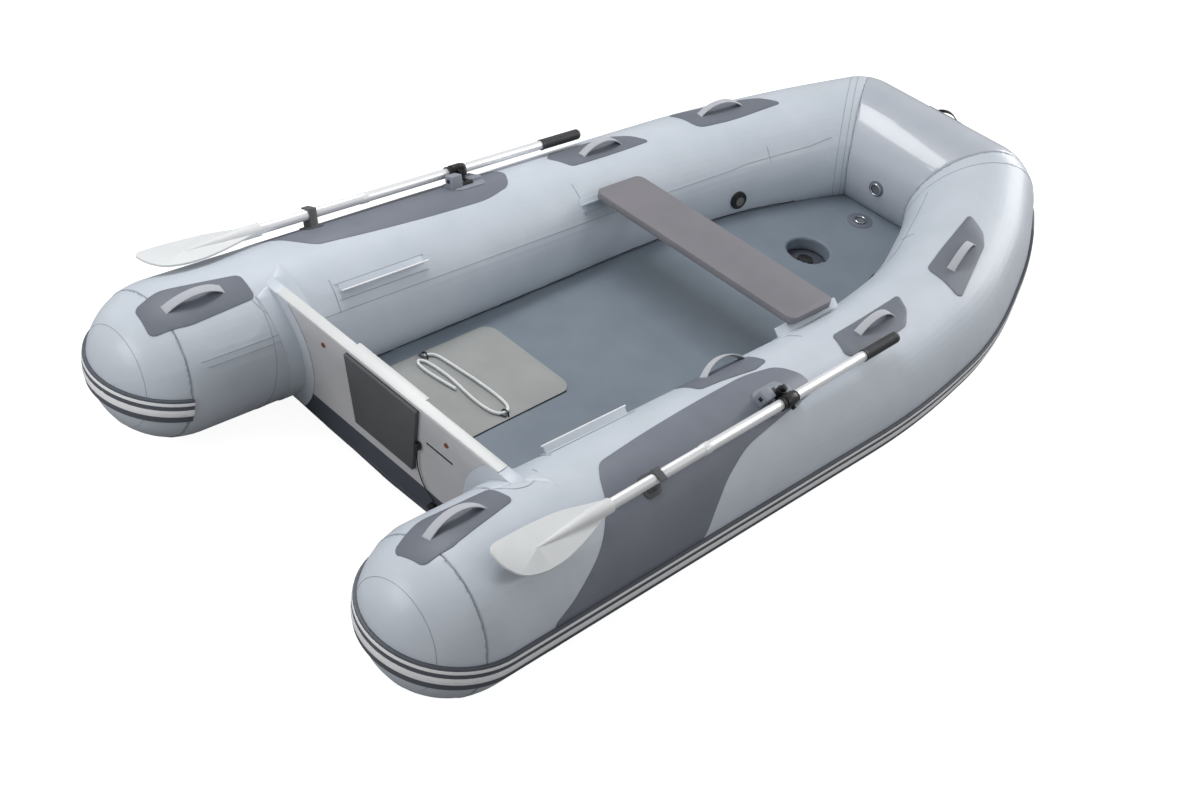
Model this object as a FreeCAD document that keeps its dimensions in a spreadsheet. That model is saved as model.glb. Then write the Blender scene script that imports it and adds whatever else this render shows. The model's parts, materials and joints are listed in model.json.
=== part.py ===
import FreeCAD, Part
import math
import os
import re

import Sketcher
from FreeCAD import Placement, Rotation, Vector

# A small inflatable tender with a rigid transom and an air floor, in millimetres and degrees.
# X runs to the bow, Y to port and Z up. The origin is on the floor, under the middle of its length.

os.makedirs("parts", exist_ok=True)
doc = FreeCAD.newDocument("tender")
sheet = doc.addObject("Spreadsheet::Sheet", "sizes")

SIZES = (
    # Buoyancy tubes
    ("tube_radius", 213.6),
    ("stern_centre_back", 1337),
    ("cone_seam_back", 1405),
    ("tube_half_gauge", 557),
    ("bow_curve_length", 1336.4),
    ("bow_half_front", 249),
    ("bow_rise", 166.4),
    ("seat_gap", 0.3),
    ("overrun", 60),
    # Rubbing strake, in heights over the middle of the tube
    ("strake_depth", 9),
    ("strake_top", 21),
    ("strake_bottom", -51),
    ("stripe_depth", 1.2),
    ("thin_stripe_top", 14.5),
    ("thin_stripe_bottom", 5.5),
    ("thick_stripe_top", -8.6),
    ("thick_stripe_bottom", -29.6),
    # Glued skins on the tubes
    ("panel_depth", 1.2),
    ("panel_tilt", 58),
    ("patch_depth", 1.8),
    ("patch_half_length", 192),
    ("patch_half_width", 61),
    # Carrying handles
    ("handle_length", 176),
    ("handle_height", 32),
    ("handle_width", 25),
    ("handle_thick", 4),
    ("handle_seat", 0.6),
    # Transom
    ("transom_back", 1073),
    ("transom_thick", 28),
    ("transom_inset", 125),
    ("transom_bottom", 45),
    ("transom_top", 415),
    ("transom_rake", 12),
    ("rake_height", 280),
    ("cap_thick", 4),
    ("motor_pad_thick", 12),
    ("motor_pad_half_top", 142),
    ("motor_pad_half_bottom", 116),
    ("motor_pad_top", 406),
    ("motor_pad_bottom", 174),
    ("inner_plate_thick", 10),
    ("inner_plate_half_width", 135),
    ("inner_plate_bottom", 215),
    ("collar_depth", 2.5),
    ("collar_foot", 48),
    ("collar_flange", 42),
    ("stud_radius", 7),
    ("stud_depth", 3),
    ("stud_half_gauge", 242),
    ("stud_height", 360),
    ("cleat_across", 138),
    ("cleat_height", 280),
    ("cleat_wide", 12),
    ("cleat_tall", 22),
    ("cleat_depth", 14),
    ("plug_across", 187),
    ("plug_height", 81),
    ("plug_radius", 16),
    ("plug_depth", 12),
    ("lanyard_radius", 1.6),
    ("flap_depth", 1.5),
    ("flap_top", 124),
    # Seat board and the rails that carry it
    ("seat_back_edge", 99),
    ("seat_wide", 209),
    ("seat_inset", 153),
    ("seat_top", 411),
    ("seat_thick", 22),
    ("seat_corner", 26),
    ("rail_length", 300),
    ("rail_angle", 135),
    ("rail_height", 20),
    ("rail_thick", 4),
    ("rail_foot_width", 46),
    ("rail_foot_depth", 1.5),
    ("seat_rail_height", 34),
    ("spare_rail_back", 755),
    # Air floor and bottom
    ("floor_back", 960),
    ("floor_front", 1190),
    ("floor_back_top", 118),
    ("floor_front_top", 245),
    ("floor_thick", 50),
    ("well_ahead", 795),
    ("well_radius", 74),
    ("well_valve_radius", 26),
    ("well_valve_height", 16),
    ("bottom_front", 1300),
    ("bottom_inset", 87),
    ("keel_low", 22),
    ("bottom_front_low", 172),
    ("bottom_edge_rise", 58),
    # Mat, rings and the rope on it
    ("mat_back", 960),
    ("mat_front", 400),
    ("mat_port_edge", 300),
    ("mat_starboard_edge", -62),
    ("mat_thick", 4),
    ("eye_radius", 14),
    ("eye_wire", 2),
    ("eye_port_back", 670),
    ("eye_port_across", 280),
    ("eye_starboard_back", 652),
    ("eye_starboard_across", -42),
    ("strap_radius", 4.5),
    # Valves and rings
    ("valve_ahead", 789),
    ("valve_angle", 178),
    ("valve_radius", 31),
    ("valve_depth", 5),
    ("valve_cap_radius", 19),
    ("valve_cap_depth", 9),
    ("ring_radius", 20),
    ("ring_wire", 3),
    ("ring_pad_radius", 44),
    ("ring_pad_depth", 2),
    ("floor_ring_ahead", 1085),
    ("bow_ring_angle", 188),
    ("tow_angle", 54),
    ("tow_pad_half_length", 70),
    ("tow_pad_half_width", 42),
    ("tow_grip_length", 84),
    ("tow_grip_height", 17),
    # Oars, each along its own X from the rowlock
    ("rowlock_back", 265),
    ("oar_outboard", 106),
    ("oar_height", 441),
    ("oar_toe", 1.3),
    ("oar_rise", 0.55),
    ("oar_swing_tilt", 21),
    ("post_inboard", 31),
    ("post_radius", 9),
    ("post_pin_radius", 6),
    ("post_pin_top", 21),
    ("running_gap", 0.05),
    ("swivel_half_length", 20),
    ("swivel_radius", 19.5),
    ("swivel_arm_radius", 14),
    ("swivel_arm_half_height", 9),
    ("shaft_radius", 14.5),
    ("grip_start", 357),
    ("grip_end", 522),
    ("grip_radius", 16),
    ("joint_back", 352),
    ("joint_radius", 16),
    ("joint_half_length", 14),
    ("blade_neck", 715),
    ("blade_tip", 1070),
    ("blade_neck_radius", 19),
    ("blade_thick", 6),
    ("blade_half_width", 59),
    ("blade_tilt_port", 5),
    ("blade_tilt_starboard", 20),
    ("spine_back", 960),
    ("spine_tip_radius", 4),
    # Rowlock base and oar clip on the tube
    ("lug_half_length", 27),
    ("lug_wall", 15),
    ("lug_half_width", 17),
    ("lug_drop", 24),
    ("base_half_length", 62),
    ("base_half_width", 44),
    ("base_depth", 3),
    ("clip_back", 544),
    ("clip_half_length", 12),
    ("clip_wall", 4.5),
    ("clip_gap", 0.4),
    ("clip_base_half", 30),
)

for row, (alias, amount) in enumerate(SIZES, start=1):
    sheet.set(f"A{row}", alias.replace("_", " "))
    sheet.set(f"B{row}", str(amount))
    sheet.setAlias(f"B{row}", alias)
doc.recompute()
SIZE_WORD = re.compile(r"\b(" + "|".join(alias for alias, amount in SIZES) + r")\b")

PORT = 1
STARBOARD = -1
SIDES = ((PORT, "port"), (STARBOARD, "starboard"))
ACROSS = Vector(0, 1, 0)
ALONG = Vector(1, 0, 0)
UP = Vector(0, 0, 1)
SUBPARTS = []


def size(name):
    """Value of one named size."""
    return float(sheet.get(name))


def bind(item, **formulas):
    """Tie properties of an object to formulas of named sizes."""
    for prop, formula in formulas.items():
        item.setExpression(prop, SIZE_WORD.sub(r"sizes.\g<0>", formula))
    return item


def subpart(item, label):
    """Name a finished sub-part, which is then written to its own file."""
    item.Label = label
    SUBPARTS.append(item)
    return item


def feature(name, shape):
    """Feature that holds a shape worked out from the sheet."""
    item = doc.addObject("Part::Feature", name)
    item.Shape = shape
    return item


def placed(item, placement):
    """Give an object its place."""
    item.Placement = placement
    return item


def joined(name, pieces):
    """Union of several objects."""
    item = doc.addObject("Part::MultiFuse", name)
    item.Shapes = list(pieces)
    return item


def shared(name, pieces):
    """What several objects have in common."""
    item = doc.addObject("Part::MultiCommon", name)
    item.Shapes = list(pieces)
    return item


def cut(name, base, tool):
    """One object with another taken out of it."""
    item = doc.addObject("Part::Cut", name)
    item.Base = base
    item.Tool = tool
    return item


def extruded(name, face, direction, formula, both_ways=False):
    """Prism of a flat face; the formula gives its length, on each side where it goes both ways."""
    item = doc.addObject("Part::Extrusion", name)
    item.Base = face
    item.DirMode = "Custom"
    item.Dir = direction
    item.Solid = True
    bind(item, LengthFwd=formula)
    if both_ways:
        bind(item, LengthRev=formula)
    return item


def cylinder(name, radius, height, placement):
    """Round bar from its foot along its own Z."""
    item = doc.addObject("Part::Cylinder", name)
    bind(item, Radius=radius, Height=height)
    return placed(item, placement)


def box(name, length, width, height, placement):
    """Block centred on its own X and Y, standing on its own Z of zero."""
    item = doc.addObject("Part::Box", name)
    bind(item, Length=length, Width=width, Height=height)
    item.recompute()
    corner = Placement(Vector(-item.Length.Value / 2, -item.Width.Value / 2, 0), Rotation())
    return placed(item, placement.multiply(corner))


def span_box(name, low, high):
    """Block between two corners."""
    item = doc.addObject("Part::Box", name)
    item.Length = high.x - low.x
    item.Width = high.y - low.y
    item.Height = high.z - low.z
    return placed(item, Placement(low, Rotation()))


def ring(name, major, minor, placement):
    """Round ring of wire about its own Z."""
    item = doc.addObject("Part::Torus", name)
    bind(item, Radius1=major, Radius2=minor)
    return placed(item, placement)


def aim(direction, origin):
    """Placement that turns +Z to a direction and moves to a point."""
    return Placement(origin, Rotation(UP, direction))


def frame(origin, along, normal):
    """Placement with +X along one direction and +Z near another."""
    return Placement(origin, Rotation(along, normal.cross(along), normal, "XZY"))


def rounded(corner, before, after, share):
    """Tangent arc that takes a share of the shorter run at a corner: its points and radius."""
    back = before - corner
    ahead = after - corner
    trim = share * min(back.Length, ahead.Length)
    back.normalize()
    ahead.normalize()
    half_turn = (math.pi - back.getAngle(ahead)) / 2
    radius = trim / math.tan(half_turn)
    inside = back + ahead
    inside.normalize()
    middle = corner + inside * (radius / math.cos(half_turn) - radius)
    return corner + back * trim, middle, corner + ahead * trim, radius


ARC_SHARE = 0.45


def smooth_wire(points, share=ARC_SHARE):
    """Straight runs joined by tangent arcs, and the arcs' radii."""
    edges = []
    radii = []
    start = points[0]
    for before, corner, after in zip(points, points[1:], points[2:]):
        first, middle, last, radius = rounded(corner, before, after, share)
        radii.append(radius)
        edges.append(Part.LineSegment(start, first).toShape())
        edges.append(Part.Arc(first, middle, last).toShape())
        start = last
    edges.append(Part.LineSegment(start, points[-1]).toShape())
    return Part.Wire(edges), radii


def smooth_face(points, share=ARC_SHARE):
    """Flat face whose outline is runs joined by tangent arcs all round."""
    corners = []
    for number, corner in enumerate(points):
        corners.append(rounded(corner, points[number - 1], points[(number + 1) % len(points)], share))
    edges = []
    for number, (first, middle, last, radius) in enumerate(corners):
        edges.append(Part.Arc(first, middle, last).toShape())
        following = corners[(number + 1) % len(corners)][0]
        edges.append(Part.LineSegment(last, following).toShape())
    return Part.Face(Part.Wire(edges))


def flat_face(points):
    """Flat face with straight sides."""
    return Part.Face(Part.makePolygon(list(points) + [points[0]]))


# Routes of the tubes' centre lines. Shares of the bow curve's length, of the way in and of the rise.
SIDE_ROUTE_SHARES = (
    (0.246, 0.0, 0.0),
    (0.59, 0.159, 0.2),
    (0.86, 0.607, 0.633),
    (1.0, 1.0, 1.0),
)


def side_route(side):
    """Corner points of a side tube's centre line, from the stern to the bow corner."""
    gauge = size("tube_half_gauge")
    inset = gauge - size("bow_half_front")
    points = [Vector(-size("stern_centre_back"), side * gauge, size("tube_radius"))]
    for along, inward, upward in SIDE_ROUTE_SHARES:
        points.append(Vector(
            along * size("bow_curve_length"),
            side * (gauge - inward * inset),
            size("tube_radius") + upward * size("bow_rise")))
    return points


SPINES = {}
CORNER = {}
for side, side_name in SIDES:
    SPINES[side] = feature(f"spine_{side_name}", smooth_wire(side_route(side))[0])
    CORNER[side] = side_route(side)[-1]
SPINES[0] = feature("spine_bow", Part.makePolygon([CORNER[PORT], CORNER[STARBOARD]]))
doc.recompute()


def station(side, ahead):
    """Point and forward direction of a side tube's centre line at one distance ahead."""
    for edge in SPINES[side].Shape.Edges:
        low, high = edge.ParameterRange
        if edge.valueAt(high).x < edge.valueAt(low).x:
            low, high = high, low
        if edge.valueAt(high).x >= ahead or edge is SPINES[side].Shape.Edges[-1]:
            break
    for halving in range(40):
        middle = (low + high) / 2
        if edge.valueAt(middle).x < ahead:
            low = middle
        else:
            high = middle
    direction = edge.tangentAt(middle)
    if direction.x < 0:
        direction = -direction
    return edge.valueAt(middle), direction


def tube_frame(side, ahead, angle, over=0.0):
    """Frame on a side tube: +X forward, +Z out of the skin at an angle up from outboard."""
    centre, forward = station(side, ahead)
    lift = UP - forward * UP.dot(forward)
    lift.normalize()
    outboard = lift.cross(forward) * side
    turn = math.radians(angle)
    normal = outboard * math.cos(turn) + lift * math.sin(turn)
    return frame(centre + normal * (size("tube_radius") + over), forward, normal)


def swept(name, spine, origin, direction, extra):
    """Round tube along a spine, its radius the buoyancy tube's plus an extra."""
    section = bind(doc.addObject("Part::Circle", f"{name}_ring"), Radius=f"tube_radius + {extra}")
    placed(section, aim(direction, origin))
    tube = doc.addObject("Part::Sweep", name)
    tube.Sections = [section]
    tube.Spine = (spine, [f"Edge{number + 1}" for number in range(len(spine.Shape.Edges))])
    tube.Solid = True
    return tube


def dome(name, side, extra, low="0", high="90"):
    """Zone of the round stern end of a side tube, by its latitudes aft of the centre."""
    item = doc.addObject("Part::Sphere", name)
    bind(item, Radius=f"tube_radius + {extra}", Angle1=low, Angle2=high)
    return placed(item, aim(-ALONG, side_route(side)[0]))


def knuckle(name, side, extra):
    """Round outside of a bow corner, between the end of the side tube and the bow tube."""
    arriving = CORNER[side] - side_route(side)[-2]
    arriving.normalize()
    leaving = ACROSS * -side
    axis = arriving.cross(leaving)
    axis.normalize()
    item = bind(doc.addObject("Part::Sphere", name), Radius=f"tube_radius + {extra}")
    item.Angle3 = math.degrees(arriving.getAngle(leaving))
    return placed(item, Placement(CORNER[side], Rotation(arriving.cross(axis), arriving, axis, "ZXY")))


def side_tube(name, side, extra):
    """Whole side tube with its stern dome and bow corner."""
    route = side_route(side)
    return joined(name, (
        swept(f"{name}_run", SPINES[side], route[0], route[1] - route[0], extra),
        dome(f"{name}_dome", side, extra),
        knuckle(f"{name}_knuckle", side, extra)))


def bow_tube(name, extra):
    """Bow tube from corner to corner, with both rounded corners."""
    return joined(name, (
        swept(f"{name}_run", SPINES[0], CORNER[PORT], -ACROSS, extra),
        knuckle(f"{name}_knuckle_port", PORT, extra),
        knuckle(f"{name}_knuckle_starboard", STARBOARD, extra)))


def mitre_block(name, side, beyond):
    """Large block on one side of the corner's mitre plane, cut away from the tube on that side."""
    arriving = CORNER[side] - side_route(side)[-2]
    arriving.normalize()
    normal = arriving - ACROSS * side
    reach = "4 * tube_radius"
    return box(name, reach, reach, reach, aim(normal * beyond, CORNER[side]))


CONE_LATITUDE = "asin((cone_seam_back - stern_centre_back) / tube_radius)"


def buoyancy_tubes():
    """Two side tubes, two stern cones and the bow tube, split where the seams are."""
    for side, side_name in SIDES:
        route = side_route(side)
        run = joined(f"run_{side_name}", (
            swept(f"run_{side_name}_sweep", SPINES[side], route[0], route[1] - route[0], "0"),
            dome(f"run_{side_name}_zone", side, "0", "0", CONE_LATITUDE),
            knuckle(f"run_{side_name}_knuckle", side, "0")))
        subpart(cut(f"side_{side_name}", run, mitre_block(f"mitre_{side_name}", side, 1)),
                f"tube_{side_name}")
        subpart(dome(f"cone_{side_name}", side, "0", CONE_LATITUDE, "90"), f"stern_cone_{side_name}")
    blocks = joined("bow_blocks", [
        mitre_block(f"bow_mitre_{side_name}", side, -1) for side, side_name in SIDES])
    subpart(cut("bow_piece", bow_tube("bow_whole", "0"), blocks), "tube_bow")


def hull_tube(name, extra):
    """All the tubes in one, at a radius of the tube's plus an extra."""
    return joined(name, (
        side_tube(f"{name}_port", PORT, extra),
        side_tube(f"{name}_starboard", STARBOARD, extra),
        bow_tube(f"{name}_bow", extra)))


PLAN_LOW = Vector(0, 0, -size("overrun"))


def plan_inside(name, back):
    """Prism of the plan between the centre lines, from a distance aft of the origin to the bow."""
    port = side_route(PORT)
    port[0].x = -back
    points = port + [Vector(p.x, -p.y, p.z) for p in reversed(port)]
    plan = flat_face([Vector(p.x, p.y, 0) + PLAN_LOW for p in points])
    return extruded(name, feature(f"{name}_face", plan), UP, "4 * tube_radius")


# Heights of the tube's middle are followed at even shares of the bow curve.
STRIP_STEPS = 12


def side_strip(name, top, bottom):
    """Block between two heights over the tube's middle, following its rise, right across."""
    far = size("stern_centre_back") + size("tube_radius") + size("overrun")
    middle = [Vector(-far, 0, size("tube_radius"))]
    for step in range(STRIP_STEPS + 1):
        point = station(PORT, size("bow_curve_length") * step / STRIP_STEPS)[0]
        middle.append(Vector(point.x, 0, point.z))
    middle.append(Vector(far, 0, middle[-1].z))
    outline = [p + UP * size(top) for p in middle] + [p + UP * size(bottom) for p in reversed(middle)]
    return extruded(name, feature(f"{name}_face", flat_face(outline)), ACROSS,
                    "tube_half_gauge + 2 * tube_radius", True)


def strake():
    """Rubbing strake round the outside of the tubes and its two pale stripes."""
    inside = plan_inside("strake_inside", size("cone_seam_back"))
    fat = cut("strake_fat", hull_tube("strake_tube", "strake_depth"), TUBE_BODY)
    band = shared("strake_band", (fat, side_strip("strake_strip", "strake_top", "strake_bottom")))
    piece = subpart(cut("strake_piece", band, inside), "rub_strake")
    skin = cut("stripe_skin", hull_tube("stripe_tube", "strake_depth + stripe_depth"),
               hull_tube("stripe_core", "strake_depth"))
    strips = joined("stripe_strips", (
        side_strip("thin_strip", "thin_stripe_top", "thin_stripe_bottom"),
        side_strip("thick_strip", "thick_stripe_top", "thick_stripe_bottom")))
    pair = shared("stripe_pair", (skin, strips))
    subpart(cut("stripe_piece", pair, inside), "strake_stripes")
    return piece


def skin_patch(name, shell, place, outline, depth, share, floor_tube=None):
    """Skin glued on a tube; its outline is in the plane of a frame on the tube."""
    face = feature(f"{name}_outline", smooth_face(outline, share))
    face.Placement = place
    normal = place.Rotation.multVec(UP)
    prism = extruded(f"{name}_prism", face, normal, "overrun")
    inward = extruded(f"{name}_inward", face, -normal, "tube_radius")
    column = joined(f"{name}_column", (prism, inward))
    raised = shared(f"{name}_raised", (column, shell(f"{name}_tube", depth)))
    return cut(f"{name}_skin", raised, floor_tube or TUBE_BODY)


def side_shell(side):
    """Maker of a thicker side tube from a name and an extra."""
    return lambda name, extra: side_tube(name, side, extra)


def outboard_sign(place, side):
    """Which way a frame's own +Y points: 1 outboard, -1 inboard."""
    return 1 if place.Rotation.multVec(ACROSS).y * side > 0 else -1


# Outline of the dark side panel: shares of the straight tube's length, and angles up from outboard.
PANEL_SHARES = (
    (-0.69, 80), (-0.66, 92), (-0.53, 97), (-0.37, 101), (-0.2, 103),
    (-0.115, 96), (-0.082, 78), (-0.09, 64), (-0.22, 58), (-0.34, 52), (-0.42, 38.5),
    (-0.467, 23), (-0.5, 2), (-0.92, 2), (-0.85, 18), (-0.767, 39.5), (-0.71, 66),
)


def side_panels(strake_piece):
    """Dark panel over the top and down the outside of each side tube, to the strake's edge."""
    for side, side_name in SIDES:
        place = tube_frame(side, -size("stern_centre_back") / 2, size("panel_tilt"))
        flip = outboard_sign(place, side)
        outline = []
        for along, angle in PANEL_SHARES:
            drop = size("tube_radius") * math.sin(math.radians(size("panel_tilt") - angle))
            outline.append(Vector(
                along * size("stern_centre_back") + size("stern_centre_back") / 2, flip * drop, 0))
        skin = skin_patch(f"panel_{side_name}", side_shell(side), place, outline, "panel_depth", 0.4)
        subpart(cut(f"panel_piece_{side_name}", skin, strake_piece), f"side_panel_{side_name}")


# Corners of a handle patch: shares of its half length forward and of its half width outboard.
PATCH_ARC_SHARE = 0.2
SIDE_PATCH_SHARES = ((0.98, -0.62), (0.77, 0.36), (0.46, 1.0), (-0.86, 1.16), (-1.07, 0.6), (-0.86, -0.64))
BOW_PATCH_SHARES = ((1.12, -0.64), (0.84, 0.5), (0.56, 0.92), (-0.96, 1.35), (-0.72, -0.92), (0.02, -0.88))
INNER_PATCH_SHARES = ((0.53, -0.9), (0.48, 1.3), (0.14, 1.48), (-0.47, 1.12), (-0.9, 0.98), (-0.84, -0.85))
STERN_PATCH_SHARES = ((0.82, -0.9), (0.83, 0.45), (-0.35, 1.05), (-0.72, 0.8), (-0.77, -0.75), (-0.25, -1.12))

# Handles: side, name, share of the bow curve's length ahead, angle up from outboard, patch corners.
HANDLES = (
    (PORT, "stern_port", -0.98, 104, STERN_PATCH_SHARES),
    (STARBOARD, "stern_starboard", -0.98, 104, STERN_PATCH_SHARES),
    (STARBOARD, "inner_starboard", -0.179, 127, INNER_PATCH_SHARES),
    (PORT, "side_port", 0.217, 88, SIDE_PATCH_SHARES),
    (STARBOARD, "side_starboard", 0.217, 88, SIDE_PATCH_SHARES),
    (PORT, "bow_port", 0.64, 87, BOW_PATCH_SHARES),
    (STARBOARD, "bow_starboard", 0.625, 87, BOW_PATCH_SHARES),
)


def origin_plane(body, role):
    """Own origin plane of a body."""
    return next(item for item in body.Origin.OriginFeatures if item.Role == role)


def new_sketch(body, role, name):
    """Sketch on one of a body's own origin planes."""
    sketch = body.newObject("Sketcher::SketchObject", name)
    sketch.AttachmentSupport = (origin_plane(body, role), [""])
    sketch.MapMode = "FlatFace"
    return sketch


def sheet_formula(formula):
    """Formula with its named sizes read from the sheet."""
    return SIZE_WORD.sub(r"sizes.\g<0>", formula)


def dimension(sketch, *terms):
    """Driving dimension of a sketch: constraint terms, then a formula."""
    index = sketch.addConstraint(Sketcher.Constraint(*terms[:-2], terms[-2]))
    sketch.setExpression(f"Constraints[{index}]", sheet_formula(terms[-1]))


def draw_outline(sketch, corners):
    """Closed outline; each corner is a pair of (formula, value) for its two places."""
    count = len(corners)
    places = [Vector(across[1], up[1], 0) for across, up in corners]
    for number in range(count):
        sketch.addGeometry(Part.LineSegment(places[number], places[(number + 1) % count]), False)
    for number in range(count):
        sketch.addConstraint(Sketcher.Constraint("Coincident", number, 2, (number + 1) % count, 1))
    for number, (across, up) in enumerate(corners):
        dimension(sketch, "DistanceX", -1, 1, number, 1, across[1], across[0])
        dimension(sketch, "DistanceY", -1, 1, number, 1, up[1], up[0])


def plus(name):
    """A named size as a formula and its value."""
    return name, size(name)


def minus(name):
    """A named size, negative, as a formula and its value."""
    return f"-{name}", -size(name)


def padded_body(name, role, corners, thickness, placement, symmetric=False):
    """Body with one sketched outline padded to a thickness."""
    body = doc.addObject("PartDesign::Body", name)
    sketch = new_sketch(body, role, f"{name}_sketch")
    draw_outline(sketch, corners)
    pad = body.newObject("PartDesign::Pad", f"{name}_pad")
    pad.Profile = sketch
    bind(pad, Length=thickness)
    if symmetric:
        pad.SideType = "Symmetric"
    sketch.Visibility = False
    return placed(body, placement), pad


def handle_body(name, placement, length, height):
    """Arched webbing handle that stands on its two feet, in its own XZ plane."""
    body = doc.addObject("PartDesign::Body", name)
    sketch = new_sketch(body, "XZ_Plane", f"{name}_sketch")
    half = size(length) / 2
    rise = size(height)
    outer = (half * half + rise * rise) / (2 * rise)
    inner = outer - size("handle_thick")
    centre = Vector(0, rise - outer, 0)
    inner_half = math.sqrt(inner * inner - centre.y * centre.y)
    for reach, radius, number in ((half, outer, 0), (inner_half, inner, 1)):
        start = math.atan2(-centre.y, reach)
        circle = Part.Circle(centre, Vector(0, 0, 1), radius)
        sketch.addGeometry(Part.ArcOfCircle(circle, start, math.pi - start), False)
    for reach, far in ((half, inner_half), (-half, -inner_half)):
        sketch.addGeometry(Part.LineSegment(Vector(reach, 0, 0), Vector(far, 0, 0)), False)
    for terms in ((0, 1, 2, 1), (1, 1, 2, 2), (0, 2, 3, 1), (1, 2, 3, 2), (0, 3, 1, 3)):
        sketch.addConstraint(Sketcher.Constraint("Coincident", *terms))
    sketch.addConstraint(Sketcher.Constraint("PointOnObject", 0, 1, -1))
    sketch.addConstraint(Sketcher.Constraint("PointOnObject", 1, 1, -1))
    sketch.addConstraint(Sketcher.Constraint("PointOnObject", 1, 2, -1))
    sketch.addConstraint(Sketcher.Constraint("PointOnObject", 0, 2, -1))
    sketch.addConstraint(Sketcher.Constraint("PointOnObject", 0, 3, -2))
    bow = f"({length} * {length} / 4 + {height} * {height}) / (2 * {height})"
    dimension(sketch, "Radius", 0, outer, bow)
    dimension(sketch, "Radius", 1, inner, f"{bow} - handle_thick")
    dimension(sketch, "DistanceX", -1, 1, 0, 1, half, f"{length} / 2")
    pad = body.newObject("PartDesign::Pad", f"{name}_pad")
    pad.Profile = sketch
    pad.SideType = "Symmetric"
    bind(pad, Length="handle_width")
    return placed(body, placement)


def strap_frame(side, ahead, angle):
    """Frame along the chord between the two feet of a carrying handle, clear of its patch."""
    over = size("patch_depth") + size("handle_seat")
    reach = size("handle_length") / 2 * station(side, ahead)[1].x
    aft = tube_frame(side, ahead - reach, angle, over).Base
    chord = tube_frame(side, ahead + reach, angle, over).Base - aft
    chord.normalize()
    middle = tube_frame(side, ahead, angle, over)
    return frame(aft + chord * chord.dot(middle.Base - aft), chord, middle.Rotation.multVec(UP))


def handles():
    """Patches and webbing handles, each side's in one node."""
    patches = {PORT: [], STARBOARD: []}
    straps = {PORT: [], STARBOARD: []}
    for side, name, along, angle, corner_shares in HANDLES:
        ahead = along * size("bow_curve_length")
        place = tube_frame(side, ahead, angle)
        flip = outboard_sign(place, side)
        outline = [Vector(forward * size("patch_half_length"), flip * out * size("patch_half_width"), 0)
                   for forward, out in corner_shares]
        patches[side].append(
            skin_patch(f"patch_{name}", side_shell(side), place, outline, "patch_depth", PATCH_ARC_SHARE))
        strap = handle_body(
            f"strap_{name}", strap_frame(side, ahead, angle), "handle_length", "handle_height")
        straps[side].append((name, strap))
    for side, side_name in SIDES:
        subpart(joined(f"patch_set_{side_name}", patches[side]), f"handle_patches_{side_name}")
        for name, strap in straps[side]:
            subpart(strap, f"handle_{name}")


def total(*names):
    """Sum of named sizes as a formula and its value; a name after a minus is taken off."""
    formula = " + ".join(names).replace("+ -", "- ")
    value = sum(-size(name[1:]) if name.startswith("-") else size(name) for name in names)
    return f"({formula})", value


def negative(pair):
    """A formula and its value with the sign turned."""
    return f"-{pair[0]}", -pair[1]


def leaning(placement):
    """Placement turned with the transom about a line across its aft face."""
    pivot = Vector(-size("transom_back"), 0, size("rake_height"))
    rake = Rotation(ACROSS, -size("transom_rake"))
    return Placement(pivot, rake).multiply(Placement(-pivot, Rotation())).multiply(placement)


def transom_foot(ahead):
    """Point at the leaning transom's lower edge, a distance ahead of its aft face."""
    corner = Vector(ahead - size("transom_back"), 0, size("transom_bottom"))
    return leaning(Placement(corner, Rotation())).Base


def leaning_box(name, low, high):
    """Block between two corners, leaning with the transom."""
    item = span_box(name, low, high)
    return placed(item, leaning(item.Placement))


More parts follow.
